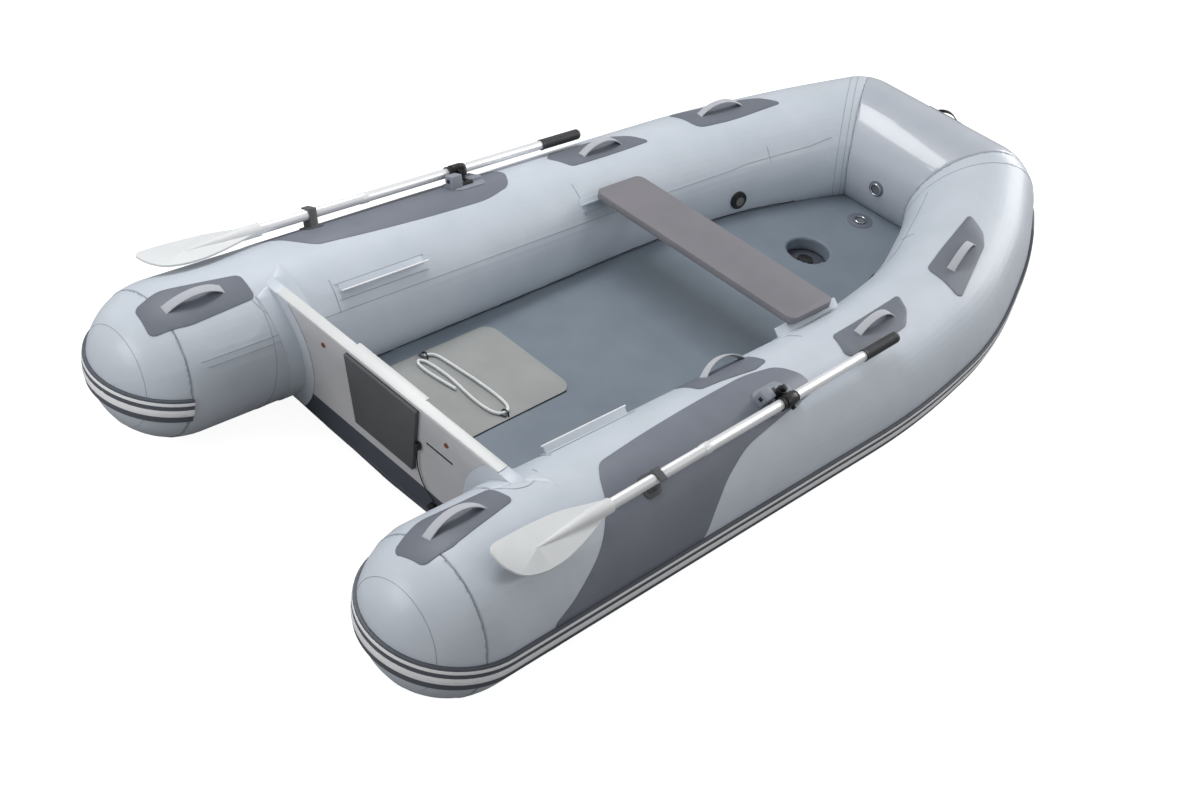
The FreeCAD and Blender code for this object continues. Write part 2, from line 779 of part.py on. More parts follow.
def transom():
    """Plywood transom with its cap, motor pads, tube collars, studs and bottom flap."""
    back = -size("transom_back")
    half = total("tube_half_gauge", "-transom_inset")
    low, high = plus("transom_bottom"), plus("transom_top")
    board, pad = padded_body(
        "transom_board", "YZ_Plane",
        ((negative(half), low), (half, low), (half, high), (negative(half), high)),
        "transom_thick", leaning(Placement(Vector(back, 0, 0), Rotation())))
    subpart(cut("transom_piece", board, TUBE_CLEAR), "transom")

    front = negative(total("transom_back", "-transom_thick"))
    plate_front = negative(total("transom_back", "-transom_thick", "-inner_plate_thick"))
    aft = minus("transom_back")
    plate_half = plus("inner_plate_half_width")
    cap, pad = padded_body(
        "cap_body", "XY_Plane",
        ((aft, negative(half)), (aft, half), (front, half), (front, plate_half),
         (plate_front, plate_half), (plate_front, negative(plate_half)),
         (front, negative(plate_half)), (front, negative(half))),
        "cap_thick", leaning(Placement(Vector(0, 0, size("transom_top")), Rotation())))
    subpart(cap, "transom_cap")

    wide, narrow = plus("motor_pad_half_top"), plus("motor_pad_half_bottom")
    low, high = plus("motor_pad_bottom"), plus("motor_pad_top")
    outer, pad = padded_body(
        "motor_pad_body", "YZ_Plane",
        ((negative(narrow), low), (narrow, low), (wide, high), (negative(wide), high)),
        "motor_pad_thick", leaning(Placement(Vector(back - size("motor_pad_thick"), 0, 0), Rotation())))
    subpart(outer, "motor_pad_outer")

    low, high = plus("inner_plate_bottom"), plus("transom_top")
    inner, pad = padded_body(
        "inner_plate_body", "YZ_Plane",
        ((negative(plate_half), low), (plate_half, low), (plate_half, high), (negative(plate_half), high)),
        "inner_plate_thick", leaning(Placement(Vector(back + size("transom_thick"), 0, 0), Rotation())))
    subpart(inner, "motor_plate_inner")

    reach = size("collar_foot")
    flange = size("collar_depth")
    front_face = back + size("transom_thick")
    board_zone = leaning_box("board_zone", Vector(back, -size("tube_half_gauge"), -size("overrun")),
                             Vector(front_face, size("tube_half_gauge"), 2 * size("transom_top")))
    foot_front = transom_foot(size("transom_thick")).x
    under_zone = span_box("under_zone", Vector(foot_front, -size("tube_half_gauge"), -size("overrun")),
                          Vector(0, size("tube_half_gauge"), size("floor_back_top")))
    closed_zone = joined("closed_zone", (board_zone, under_zone))
    for side, side_name in SIDES:
        inboard = sorted((0, side * size("tube_half_gauge")))
        low_z, high_z = size("transom_bottom"), size("transom_top")
        foot_zone = leaning_box(f"foot_zone_{side_name}", Vector(back - reach, inboard[0], low_z),
                                Vector(front_face + reach, inboard[1], high_z))
        foot = shared(f"collar_foot_{side_name}",
                      (foot_zone, side_tube(f"collar_skin_{side_name}", side, "collar_depth")))
        web_zone = leaning_box(f"web_zone_{side_name}", Vector(back - flange, inboard[0], low_z),
                               Vector(front_face + flange, inboard[1], high_z))
        web = shared(f"collar_web_{side_name}",
                     (web_zone, side_tube(f"collar_fat_{side_name}", side, "collar_flange")))
        whole = joined(f"collar_whole_{side_name}", (foot, web))
        open_collar = cut(f"collar_open_{side_name}", whole, closed_zone)
        subpart(cut(f"collar_{side_name}", open_collar, TUBE_BODY), f"transom_collars_{side_name}")

    flap = leaning_box("flap_zone", Vector(back - size("flap_depth"), -half[1], size("transom_bottom")),
                       Vector(back, half[1], size("flap_top")))
    subpart(cut("flap_piece", flap, hull_tube("flap_clear", "collar_flange + seat_gap")), "bottom_flap")

    studs = [cylinder(f"stud_{side_name}", "stud_radius", "stud_depth", leaning(aim(
        -ALONG, Vector(back, side * size("stud_half_gauge"), size("stud_height")))))
        for side, side_name in SIDES]
    subpart(joined("stud_pair", studs), "transom_studs")

    cleat = box("cleat", "cleat_tall", "cleat_wide", "cleat_depth", leaning(aim(
        -ALONG, Vector(back, -size("cleat_across"), size("cleat_height")))))
    subpart(cleat, "lanyard_cleat")
    plug = cylinder("plug", "plug_radius", "plug_depth", leaning(aim(
        -ALONG, Vector(back - size("flap_depth"), -size("plug_across"), size("plug_height")))))
    subpart(plug, "drain_plug")


def cord(name, label, points, radius):
    """Round cord along runs joined by tangent arcs; prints its radii."""
    wire, radii = smooth_wire([Vector(*point) for point in points])
    print(label, "arc radii", [round(value, 1) for value in radii], "length", round(wire.Length, 1))
    spine = feature(f"{name}_spine", wire)
    section = bind(doc.addObject("Part::Circle", f"{name}_ring"), Radius=radius)
    start = Vector(*points[0])
    placed(section, aim(Vector(*points[1]) - start, start))
    tube = doc.addObject("Part::Sweep", name)
    tube.Sections = [section]
    tube.Spine = (spine, [f"Edge{number + 1}" for number in range(len(wire.Edges))])
    tube.Solid = True
    return subpart(tube, label)


# Route of the thin lanyard down the back of the transom, from its cleat to the drain plug.
LANYARD_ROUTE = (
    (-1077, -135.5, 266), (-1071.3, -131, 238), (-1063.5, -130.5, 206), (-1055.6, -136, 174),
    (-1049.4, -149.5, 145), (-1046.7, -170, 127.5), (-1047, -186, 122), (-1045.5, -191.5, 114),
    (-1042.3, -190.5, 99.5),
)

# Heights of the air floor's top: shares of its length forward and of its rise.
FLOOR_SHARES = ((0.0, 0.0), (0.241, 0.15), (0.476, 0.276), (0.752, 0.567), (1.0, 1.0))


def floor_curve(over):
    """Curve along the top of the air floor, lifted by an amount."""
    length = size("floor_front") + size("floor_back")
    rise = size("floor_front_top") - size("floor_back_top")
    points = [Vector(-size("floor_back") + along * length, 0,
                     size("floor_back_top") + up * rise + over) for along, up in FLOOR_SHARES]
    curve = Part.BSplineCurve()
    curve.interpolate(points)
    return curve


def floor_layer(name, low, high):
    """Slab between two heights over the floor's top, right across."""
    under, over = floor_curve(low), floor_curve(high)
    edges = [
        under.toShape(), Part.LineSegment(under.EndPoint, over.EndPoint).toShape(),
        over.toShape(), Part.LineSegment(over.StartPoint, under.StartPoint).toShape()]
    face = Part.Face(Part.Wire(Part.__sortEdges__(edges)))
    return extruded(name, feature(f"{name}_face", face), ACROSS, "tube_half_gauge", True)


def floor_height(ahead):
    """Height of the floor's top at a distance ahead."""
    edge = floor_curve(0).toShape()
    upright = Part.LineSegment(Vector(ahead, 0, -size("overrun")),
                               Vector(ahead, 0, 2 * size("tube_radius"))).toShape()
    return edge.distToShape(upright)[1][0][0].z


def air_floor():
    """Air floor between the tubes, with the round well for the keel's valve."""
    inside = plan_inside("floor_plan", size("floor_back"))
    slab = shared("floor_slab", (floor_layer("floor_layer", -size("floor_thick"), 0), inside))
    trimmed = cut("floor_trimmed", slab, TUBE_CLEAR)
    well = cylinder("well", "well_radius", "2 * tube_radius", Placement(
        Vector(size("well_ahead"), 0, 0), Rotation()))
    subpart(cut("floor_piece", trimmed, well), "air_floor")


# Sections of the bottom: place from the transom to the bow, keel's rise, and edge's rise over it.
BOTTOM_SHARES = (
    (0.0, 0.06, 0.2), (0.047, 0.05, 0.5), (0.24, 0.04, 0.89), (0.5, 0.0, 1.0),
    (0.71, 0.19, 0.85), (0.875, 0.62, 0.87), (1.0, 1.0, 0.3),
)


def bottom():
    """Bottom skin with its inflated keel: a shallow vee under the air floor."""
    back = transom_foot(0).x
    length = size("bottom_front") - back
    half = size("tube_half_gauge") - size("bottom_inset")
    lid = size("floor_front_top") + size("overrun")
    sections = []
    for number, (along, keel, edge) in enumerate(BOTTOM_SHARES):
        ahead = back + along * length
        keel_z = size("keel_low") + keel * (size("bottom_front_low") - size("keel_low"))
        edge_z = keel_z + edge * size("bottom_edge_rise")
        corners = (
            Vector(ahead, 0, keel_z), Vector(ahead, half, edge_z), Vector(ahead, half, lid),
            Vector(ahead, -half, lid), Vector(ahead, -half, edge_z))
        sections.append(feature(f"bottom_section_{number}", Part.makePolygon(corners + corners[:1])))
    loft = doc.addObject("Part::Loft", "bottom_loft")
    loft.Sections = sections
    loft.Solid = True
    loft.Ruled = False
    inside = plan_inside("bottom_plan", -back)
    hull = shared("bottom_inside", (loft, inside))
    under = floor_curve(-size("floor_thick") - size("seat_gap"))
    far = size("stern_centre_back")
    first = transom_foot(0).z - size("seat_gap")
    front_face = transom_foot(size("transom_thick")).x
    profile = [
        under.toShape(),
        Part.LineSegment(under.EndPoint, Vector(far, 0, under.EndPoint.z + size("overrun"))).toShape(),
        Part.LineSegment(Vector(far, 0, under.EndPoint.z + size("overrun")),
                         Vector(far, 0, 2 * lid)).toShape(),
        Part.LineSegment(Vector(far, 0, 2 * lid), Vector(-far, 0, 2 * lid)).toShape(),
        Part.LineSegment(Vector(-far, 0, 2 * lid), Vector(-far, 0, first)).toShape(),
        Part.LineSegment(Vector(-far, 0, first), Vector(front_face, 0, first)).toShape(),
        Part.LineSegment(Vector(front_face, 0, first), under.StartPoint).toShape()]
    face = Part.Face(Part.Wire(Part.__sortEdges__(profile)))
    space = extruded("floor_space", feature("floor_space_face", face), ACROSS, "tube_half_gauge", True)
    open_hull = cut("bottom_open", hull, space)
    piece = subpart(cut("bottom_piece", open_hull, TUBE_CLEAR), "hull_bottom")
    foot = floor_height(size("well_ahead")) - size("floor_thick") - size("well_valve_height") / 2
    valve = cylinder("well_valve_bar", "well_valve_radius", "1.5 * well_valve_height", Placement(
        Vector(size("well_ahead"), 0, foot), Rotation()))
    subpart(cut("well_valve", valve, piece), "keel_valve")


def seat():
    """Seat board with rounded corners, its rails, and the spare pair of rails further aft."""
    half = total("tube_half_gauge", "-seat_inset")
    aft, fore = plus("seat_back_edge"), total("seat_back_edge", "seat_wide")
    underside = size("seat_top") - size("seat_thick")
    board, pad = padded_body(
        "seat_body", "XY_Plane",
        ((aft, negative(half)), (fore, negative(half)), (fore, half), (aft, half)),
        "seat_thick", Placement(Vector(0, 0, underside), Rotation()))
    doc.recompute()
    upright = [f"Edge{number + 1}" for number, edge in enumerate(pad.Shape.Edges)
               if abs(edge.tangentAt(edge.FirstParameter).z) > 0.5]
    fillet = board.newObject("PartDesign::Fillet", "seat_corners")
    fillet.Base = (pad, upright)
    bind(fillet, Radius="seat_corner")
    subpart(board, "seat_board")

    over_seat = span_box("over_seat", Vector(0, -size("tube_half_gauge"), underside),
                         Vector(2 * size("rail_length"), size("tube_half_gauge"), 2 * size("seat_top")))
    middle = size("seat_back_edge") + size("seat_wide") / 2
    for name, ahead, height in (("seat", middle, "seat_rail_height"),
                                ("spare", -size("spare_rail_back"), "rail_height")):
        rails = []
        for side, side_name in SIDES:
            label = f"{name}_rail_{side_name}"
            under = size("rail_foot_width") / 4
            flap = box(f"{label}_flap", "rail_length", "rail_thick", f"{height} + rail_foot_width / 4",
                       tube_frame(side, ahead, size("rail_angle"), -under))
            block = box(f"{label}_block", "rail_length", "rail_foot_width", "2 * rail_foot_width",
                        tube_frame(side, ahead, size("rail_angle"), -size("rail_foot_width")))
            foot = shared(f"{label}_foot",
                          (block, side_tube(f"{label}_tube", side, "rail_foot_depth")))
            rail = cut(f"{label}_rail", joined(f"{label}_whole", (flap, foot)), TUBE_BODY)
            rails.append(cut(f"{label}_top", rail, over_seat) if name == "seat" else rail)
        subpart(joined(f"{name}_rails_pair", rails), f"{name}_rails")


def mat_and_strap():
    """Mat on the floor, the two eyes at its edges and the loose tie-down strap."""
    corners = (
        (-size("mat_back"), size("mat_starboard_edge")), (-size("mat_front"), size("mat_starboard_edge")),
        (-size("mat_front"), size("mat_port_edge")), (-size("mat_back"), size("mat_port_edge")))
    plan = extruded("mat_plan", feature("mat_outline", smooth_face(
        [Vector(ahead, across, 0) for ahead, across in corners], MAT_CORNER_SHARE)), UP, "2 * tube_radius")
    subpart(shared("mat_piece", (plan, floor_layer("mat_layer", 0, size("mat_thick")))), "floor_mat")
    eyes = []
    for name, ahead, across in (("port", "eye_port_back", "eye_port_across"),
                                ("starboard", "eye_starboard_back", "eye_starboard_across")):
        top = floor_height(-size(ahead)) + size("mat_thick")
        eye = ring(f"eye_{name}", "eye_radius", "eye_wire", Placement(
            Vector(-size(ahead), size(across), top), Rotation(ACROSS, UP, ALONG, "ZXY")))
        bind(eye, Angle3="180")
        eyes.append(eye)
    subpart(joined("eye_pair", eyes), "strap_eyes")
    cord("strap", "tie_down_strap", STRAP_ROUTE, "strap_radius")


MAT_CORNER_SHARE = 0.12

# Route of the loose strap on the mat: through the port eye, across, back and round to its cut end.
STRAP_ROUTE = (
    (-676, 279, 141), (-658, 279, 141), (-642, 262, 141.5), (-636, 225, 142), (-631, 175, 142),
    (-625, 122, 142), (-622, 70, 142.2), (-621, 22, 142.2), (-625, -18, 142), (-638, -39, 141.5),
    (-660, -42, 141), (-678, -30, 140.5), (-687, 3, 140), (-689, 50, 140), (-684, 98, 140),
    (-679, 147, 140.5), (-679, 196, 140.5), (-683, 236, 140), (-690, 262, 140), (-702, 273, 139.5),
    (-713, 262, 139), (-716, 235, 139), (-712, 192, 139), (-706, 152, 139.5), (-699, 114, 139.5),
)


def fittings():
    """Air valves, rings on their pads and the towing handle on the bow."""
    valves = []
    for side, side_name in SIDES:
        place = tube_frame(side, size("valve_ahead"), size("valve_angle"), -size("valve_depth"))
        flange = cylinder(f"valve_flange_{side_name}", "valve_radius", "2 * valve_depth", place)
        cap = cylinder(f"valve_cap_{side_name}", "valve_cap_radius", "valve_depth + valve_cap_depth", place)
        valves.append(cut(f"valve_{side_name}", joined(f"valve_whole_{side_name}", (flange, cap)), TUBE_BODY))
    subpart(joined("valve_pair", valves), "air_valves")

    ahead = size("floor_ring_ahead")
    column = cylinder("floor_ring_column", "ring_pad_radius", "2 * tube_radius", Placement(
        Vector(ahead, 0, 0), Rotation()))
    pad_layer = floor_layer("ring_pad_layer", size("seat_gap"), size("ring_pad_depth"))
    subpart(shared("floor_ring_pad_piece", (column, pad_layer)), "floor_ring_pad")
    step = size("ring_radius")
    slope = math.atan2(floor_height(ahead + step) - floor_height(ahead - step), 2 * step)
    normal = Vector(-math.sin(slope), 0, math.cos(slope))
    top = Vector(ahead, 0, floor_height(ahead)) + normal * (
        size("ring_pad_depth") + size("ring_wire") + size("seat_gap"))
    floor_ring = ring("floor_ring_wire", "ring_radius", "ring_wire", aim(normal, top))
    over = size("ring_pad_depth") + size("ring_wire") + size("seat_gap")
    bow_ring = ring("bow_ring_wire", "ring_radius", "ring_wire", bow_frame(size("bow_ring_angle"), over))
    subpart(joined("ring_pair", (floor_ring, bow_ring)), "lashing_rings")

    outline = []
    for step in range(BOW_PAD_CORNERS):
        turn = 2 * math.pi * step / BOW_PAD_CORNERS
        outline.append(Vector(math.cos(turn), math.sin(turn), 0) * (size("ring_pad_radius") * BOW_PAD_SHARE))
    subpart(skin_patch("bow_pad", bow_tube, bow_frame(size("bow_ring_angle"), 0), outline, "ring_pad_depth",
                       ARC_SHARE), "bow_ring_pad")

    half_long, half_wide = size("tow_pad_half_length"), size("tow_pad_half_width")
    outline = [Vector(along * half_long, out * half_wide, 0)
               for along, out in ((1, 1), (-1, 1), (-1, -1), (1, -1))]
    subpart(skin_patch("tow_pad", bow_tube, bow_frame(size("tow_angle"), 0), outline, "patch_depth", 0.35),
            "tow_pad")
    subpart(handle_body("tow_handle_body", bow_frame(size("tow_angle"), size("patch_depth")),
                        "tow_grip_length", "tow_grip_height"), "tow_handle")


BOW_PAD_SHARE = 0.7
BOW_PAD_CORNERS = 10


def bow_frame(angle, over):
    """Frame on the bow tube: +X across and +Z out of the skin at an angle up from dead ahead."""
    turn = math.radians(angle)
    normal = ALONG * math.cos(turn) + UP * math.sin(turn)
    centre = (CORNER[PORT] + CORNER[STARBOARD]) * 0.5
    return frame(centre + normal * (size("tube_radius") + over), ACROSS, normal)


def oar_frame(side):
    """Frame of an oar at its rowlock: +X to the grip, +Z along the axis it swings about."""
    toe, rise = math.radians(size("oar_toe")), math.radians(size("oar_rise"))
    along = Vector(math.cos(toe) * math.cos(rise), -side * math.sin(toe) * math.cos(rise), math.sin(rise))
    tilt = math.radians(size("oar_swing_tilt"))
    swing = Vector(0, side * math.sin(tilt), math.cos(tilt))
    swing = swing - along * along.dot(swing)
    swing.normalize()
    across = size("tube_half_gauge") + size("oar_outboard")
    origin = Vector(-size("rowlock_back"), side * across, size("oar_height"))
    return frame(origin, along, swing)


def local(place, x, y, z, rotation=None):
    """Placement at a point of a frame, with an own turn after it."""
    return place.multiply(Placement(Vector(x, y, z), rotation or Rotation()))


# Turns that lay a bar's own Z along a frame's X, forward or back.
FORWARD = Rotation(ACROSS, 90)
BACKWARD = Rotation(ACROSS, -90)

# Outline of a blade: shares of its length from the neck, and of its half width outboard.
BLADE_SHARES = (
    (0.0, 0.3), (0.11, 0.33), (0.34, 0.73), (0.575, 1.0), (0.76, 0.98), (0.91, 0.7), (0.985, 0.0),
    (1.0, -0.78), (0.955, -1.0), (0.676, -0.99), (0.38, -0.85), (0.12, -0.45), (0.0, -0.3),
)


def oar(side, side_name):
    """One oar: shaft, grip, blade and the swivel that carries it on the rowlock's pin."""
    place = oar_frame(side)
    outboard = side
    rod = cylinder(f"rod_{side_name}", "shaft_radius", "blade_neck + grip_start",
                   local(place, -size("blade_neck"), 0, 0, FORWARD))
    sleeve = cylinder(f"sleeve_{side_name}", "joint_radius", "2 * joint_half_length",
                      local(place, -size("joint_back") - size("joint_half_length"), 0, 0, FORWARD))
    subpart(joined(f"shaft_{side_name}", (rod, sleeve)), f"oar_shaft_{side_name}")
    subpart(cylinder(f"grip_{side_name}", "grip_radius", "grip_end - grip_start",
                     local(place, size("grip_start"), 0, 0, FORWARD)), f"oar_grip_{side_name}")

    neck = cylinder(f"neck_{side_name}", "blade_neck_radius", "(spine_back - blade_neck) / 4",
                    local(place, -size("blade_neck"), 0, 0, BACKWARD))
    spine = doc.addObject("Part::Cone", f"blade_spine_{side_name}")
    bind(spine, Radius1="blade_neck_radius", Radius2="spine_tip_radius",
         Height="3 * (spine_back - blade_neck) / 4")
    quarter = (size("spine_back") - size("blade_neck")) / 4
    placed(spine, local(place, -size("blade_neck") - quarter, 0, 0, BACKWARD))
    length = size("blade_tip") - size("blade_neck")
    outline = [Vector(-size("blade_neck") - along * length, -out * size("blade_half_width"), 0)
               for along, out in BLADE_SHARES]
    face = feature(f"blade_face_{side_name}", smooth_face(outline))
    turn = -side * (size(f"blade_tilt_{side_name}") - size("oar_swing_tilt"))
    face.Placement = place.multiply(Placement(Vector(), Rotation(ALONG, turn)))
    plate = extruded(f"blade_plate_{side_name}", face,
                     face.Placement.Rotation.multVec(UP), "blade_thick / 2", True)
    subpart(joined(f"blade_{side_name}", (neck, spine, plate)), f"oar_blade_{side_name}")

    collar = cylinder(f"swivel_collar_{side_name}", "swivel_radius", "2 * swivel_half_length",
                      local(place, -size("swivel_half_length"), 0, 0, FORWARD))
    inboard = -outboard * size("post_inboard")
    eye = cylinder(f"swivel_eye_{side_name}", "swivel_arm_radius", "2 * swivel_arm_half_height",
                   local(place, 0, inboard, -size("swivel_arm_half_height")))
    bore = cylinder(f"swivel_bore_{side_name}", "post_pin_radius + running_gap", "2 * overrun",
                    local(place, 0, inboard, -size("overrun")))
    hole = cylinder(f"swivel_hole_{side_name}", "shaft_radius", "2 * overrun",
                    local(place, -size("overrun"), 0, 0, FORWARD))
    body = joined(f"swivel_body_{side_name}", (collar, eye))
    subpart(cut(f"swivel_{side_name}", body, joined(f"swivel_holes_{side_name}", (bore, hole))),
            f"rowlock_swivel_{side_name}")


def rowlock_base(side, side_name):
    """Rubber base with two lugs on the side panel, and the post that carries the swivel."""
    place = oar_frame(side)
    inboard = -side * size("post_inboard")
    panel_top = side_tube(f"panel_top_{side_name}", side, "panel_depth")
    centre = local(place, 0, inboard, -size("overrun"))
    half_long, half_wide = size("base_half_length"), size("base_half_width")
    outline = [Vector(along * half_long, out * half_wide, 0)
               for along, out in ((1, 1), (-1, 1), (-1, -1), (1, -1))]
    base_place = local(place, 0, inboard, -(size("oar_height") - 2 * size("tube_radius")))
    base = skin_patch(f"base_{side_name}", side_shell(side), base_place, outline,
                      "panel_depth + base_depth", 0.3, panel_top)
    offset = size("lug_half_length") - size("lug_wall") / 2
    pair = [box(f"lug_{name}_{side_name}", "lug_wall", "2 * lug_half_width", "overrun - lug_drop",
                local(centre, along, 0, 0)) for name, along in (("aft", -offset), ("fore", offset))]
    lugs = cut(f"lugs_{side_name}", joined(f"lug_pair_{side_name}", pair), panel_top)
    subpart(joined(f"rowlock_base_whole_{side_name}", (base, lugs)), f"rowlock_base_{side_name}")

    post = cylinder(f"post_bar_{side_name}", "post_radius",
                    "overrun - swivel_arm_half_height - seat_gap", centre)
    pin = cylinder(f"post_pin_{side_name}", "post_pin_radius", "overrun + post_pin_top", centre)
    head = cylinder(f"post_head_{side_name}", "post_radius",
                    "post_pin_top - swivel_arm_half_height - seat_gap",
                    local(place, 0, inboard, size("swivel_arm_half_height") + size("seat_gap")))
    base_top = side_tube(f"base_top_{side_name}", side, "panel_depth + base_depth")
    subpart(cut(f"post_{side_name}", joined(f"post_whole_{side_name}", (post, pin, head)), base_top),
            f"rowlock_post_{side_name}")


def oar_clip(side, side_name):
    """Clip that holds the shaft on the tube, open outboard along the way the oar swings."""
    place = local(oar_frame(side), -size("clip_back"), 0, 0)
    inner = size("shaft_radius") + size("clip_gap")
    outer = inner + size("clip_wall")
    block = span_box(f"clip_block_{side_name}",
                     Vector(-size("clip_half_length"), -outer, -size("overrun")),
                     Vector(size("clip_half_length"), outer, outer))
    block.Placement = place.multiply(block.Placement)
    bore = cylinder(f"clip_bore_{side_name}", "shaft_radius + clip_gap", "2 * overrun",
                    local(place, -size("overrun"), 0, 0, FORWARD))
    reach = sorted((0, side * size("overrun")))
    mouth = span_box(f"clip_mouth_{side_name}", Vector(-size("overrun"), reach[0], -inner),
                     Vector(size("overrun"), reach[1], inner))
    mouth.Placement = place.multiply(mouth.Placement)
    panel_top = side_tube(f"clip_panel_{side_name}", side, "panel_depth")
    hook = cut(f"clip_hook_{side_name}", block,
               joined(f"clip_space_{side_name}", (bore, mouth, panel_top)))
    half = size("clip_base_half")
    outline = [Vector(along * half, out * half, 0) for along, out in ((1, 1), (-1, 1), (-1, -1), (1, -1))]
    pad_place = local(place, 0, 0, -size("overrun") / 2)
    pad = skin_patch(f"clip_pad_{side_name}", side_shell(side), pad_place, outline,
                     "panel_depth + base_depth", 0.3, panel_top)
    subpart(joined(f"clip_{side_name}", (hook, pad)), f"oar_clip_{side_name}")


buoyancy_tubes()
TUBE_BODY = hull_tube("tube_body", "0")
TUBE_CLEAR = hull_tube("tube_clear", "seat_gap")
side_panels(strake())
handles()
transom()
cord("lanyard", "drain_lanyard", LANYARD_ROUTE, "lanyard_radius")
air_floor()
bottom()
seat()
mat_and_strap()
fittings()
for side, side_name in SIDES:
    oar(side, side_name)
    rowlock_base(side, side_name)
    oar_clip(side, side_name)

doc.recompute()
for item in doc.Objects:
    if "Invalid" in item.State or "Error" in item.State:
        raise RuntimeError(f"{item.Name} failed: {item.State}")
for item in SUBPARTS:
    if item.Shape.isNull() or not item.Shape.isValid():
        raise RuntimeError(f"{item.Label} has no valid shape")
    item.Shape.exportStep(f"parts/{item.Label}.step")
    print(item.Label, len(item.Shape.Solids), round(item.Shape.Volume))
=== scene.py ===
# %% [markdown]
# An inflatable tender: two fat side tubes joined by a blunt bow tube, an air floor, a wooden
# transom, a bench seat and two oars lying along the tubes. The solid pieces come from the frame
# at their real size. This lesson gives each of them its finish, and replaces the soft ones with
# modelled skins, webbing, seams and cords.

# %% Load the frame
import json
import math

import bpy
from mathutils import Matrix, Vector
from mathutils.bvhtree import BVHTree


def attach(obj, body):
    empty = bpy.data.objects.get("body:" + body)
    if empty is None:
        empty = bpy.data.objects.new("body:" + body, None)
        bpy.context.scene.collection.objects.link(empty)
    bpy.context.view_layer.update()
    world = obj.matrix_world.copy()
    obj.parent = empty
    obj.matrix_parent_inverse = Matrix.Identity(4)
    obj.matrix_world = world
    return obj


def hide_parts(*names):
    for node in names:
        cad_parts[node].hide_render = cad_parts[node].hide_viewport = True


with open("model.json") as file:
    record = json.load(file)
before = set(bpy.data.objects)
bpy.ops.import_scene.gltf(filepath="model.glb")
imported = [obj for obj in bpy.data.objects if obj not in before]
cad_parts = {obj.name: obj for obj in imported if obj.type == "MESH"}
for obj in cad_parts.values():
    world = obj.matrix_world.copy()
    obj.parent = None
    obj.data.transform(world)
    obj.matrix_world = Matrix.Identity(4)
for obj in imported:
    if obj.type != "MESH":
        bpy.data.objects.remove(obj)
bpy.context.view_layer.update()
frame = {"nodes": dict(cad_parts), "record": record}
NODES = frame["nodes"]
MM = 0.001
SIDES = ((1, "port"), (-1, "starboard"))

# %% [markdown]
# The photograph was taken from behind the starboard quarter, above the boat, with the camera
# leaning a little to the right. Its place and lens were found from the tubes, the transom and
# the seat, so the same view comes back with plain numbers: a place in metres and three turns.

# %% Camera
CAMERA_PLACE = (-3.316, -2.256, 2.776)
CAMERA_TURN_DEG = (53.278, -11.122, -46.123)
LENS_MM = 46.86
SENSOR_MM = 36
CAMERA_FAR_M = 60

bpy.ops.object.camera_add(location=CAMERA_PLACE,
                          rotation=[math.radians(turn) for turn in CAMERA_TURN_DEG])
camera = bpy.context.object
camera.name = "studio_camera"
camera.data.sensor_width = SENSOR_MM
camera.data.lens = LENS_MM
camera.data.clip_end = CAMERA_FAR_M
bpy.context.scene.camera = camera

# %% [markdown]
# Colours are written as in a paint chart, in sRGB hex, and one function turns them into the
# linear values that a shader wants. A second small function adds a shader node with its
# settings, values and links, so that every material below reads as a short list.

# %% Colour and node helpers
MOTTLE_MM = 120.0
MOTTLE_SPREAD = 0.6
MOTTLE_DETAIL = 3.0
GRAIN_DETAIL = 2.0
GRAIN_STRENGTH = 0.6


def linear(hex_text):
    """Linear colour of an sRGB hex text such as c8ccd2."""
    channels = [int(hex_text[start:start + 2], 16) / 255 for start in (0, 2, 4)]
    return [c / 12.92 if c <= 0.04045 else ((c + 0.055) / 1.055) ** 2.4 for c in channels] + [1.0]


def add_node(tree, kind, values=(), links=(), **settings):
    """A shader node with its settings, socket values and links to other nodes' outputs."""
    node = tree.nodes.new(kind)
    for name, value in settings.items():
        setattr(node, name, value)
    for socket, value in values:
        node.inputs[socket].default_value = value
    for socket, output in links:
        tree.links.new(output, node.inputs[socket])
    return node


def per_metre(size_mm):
    """Scale of a noise whose features are about this large."""
    return 1 / (size_mm * MM)


def surface(name, light, dark, roughness, grain_mm, grain_depth_mm, metallic=0.0, **sockets):
    """A finish that varies gently between two colours and has a fine grain in its surface."""
    material = bpy.data.materials.new(name)
    material.use_nodes = True
    tree = material.node_tree
    shader = tree.nodes["Principled BSDF"]
    shader.inputs["Roughness"].default_value = roughness
    shader.inputs["Metallic"].default_value = metallic
    for socket, value in sockets.items():
        shader.inputs[socket.replace("_", " ")].default_value = value
    place = add_node(tree, "ShaderNodeTexCoord").outputs["Object"]
    cloud = add_node(tree, "ShaderNodeTexNoise", [("Scale", per_metre(MOTTLE_MM)),
                                                  ("Detail", MOTTLE_DETAIL)], [("Vector", place)])
    ramp = add_node(tree, "ShaderNodeValToRGB", links=[("Fac", cloud.outputs["Fac"])])
    for stop, colour, step in zip(ramp.color_ramp.elements, (dark, light), (-1, 1)):
        stop.position = 0.5 + step * MOTTLE_SPREAD / 2
        stop.color = linear(colour)
    tree.links.new(ramp.outputs["Color"], shader.inputs["Base Color"])
    grain = add_node(tree, "ShaderNodeTexNoise", [("Scale", per_metre(grain_mm)),
                                                  ("Detail", GRAIN_DETAIL)], [("Vector", place)])
    bump = add_node(tree, "ShaderNodeBump", [("Strength", GRAIN_STRENGTH),
                                             ("Distance", grain_depth_mm * MM)],
                    [("Height", grain.outputs["Fac"])])
    tree.links.new(bump.outputs["Normal"], shader.inputs["Normal"])
    return material

# %% [markdown]
# The tubes are synthetic rubber calendered on polyester cloth. It is matt to satin, with a fine
# pebble where the cloth shows through. The pebble is under a millimetre on the real boat; it is
# drawn three times as coarse, because a finer one would not show. The dark panels, patches and
# the bottom are the same rubber in darker greys.

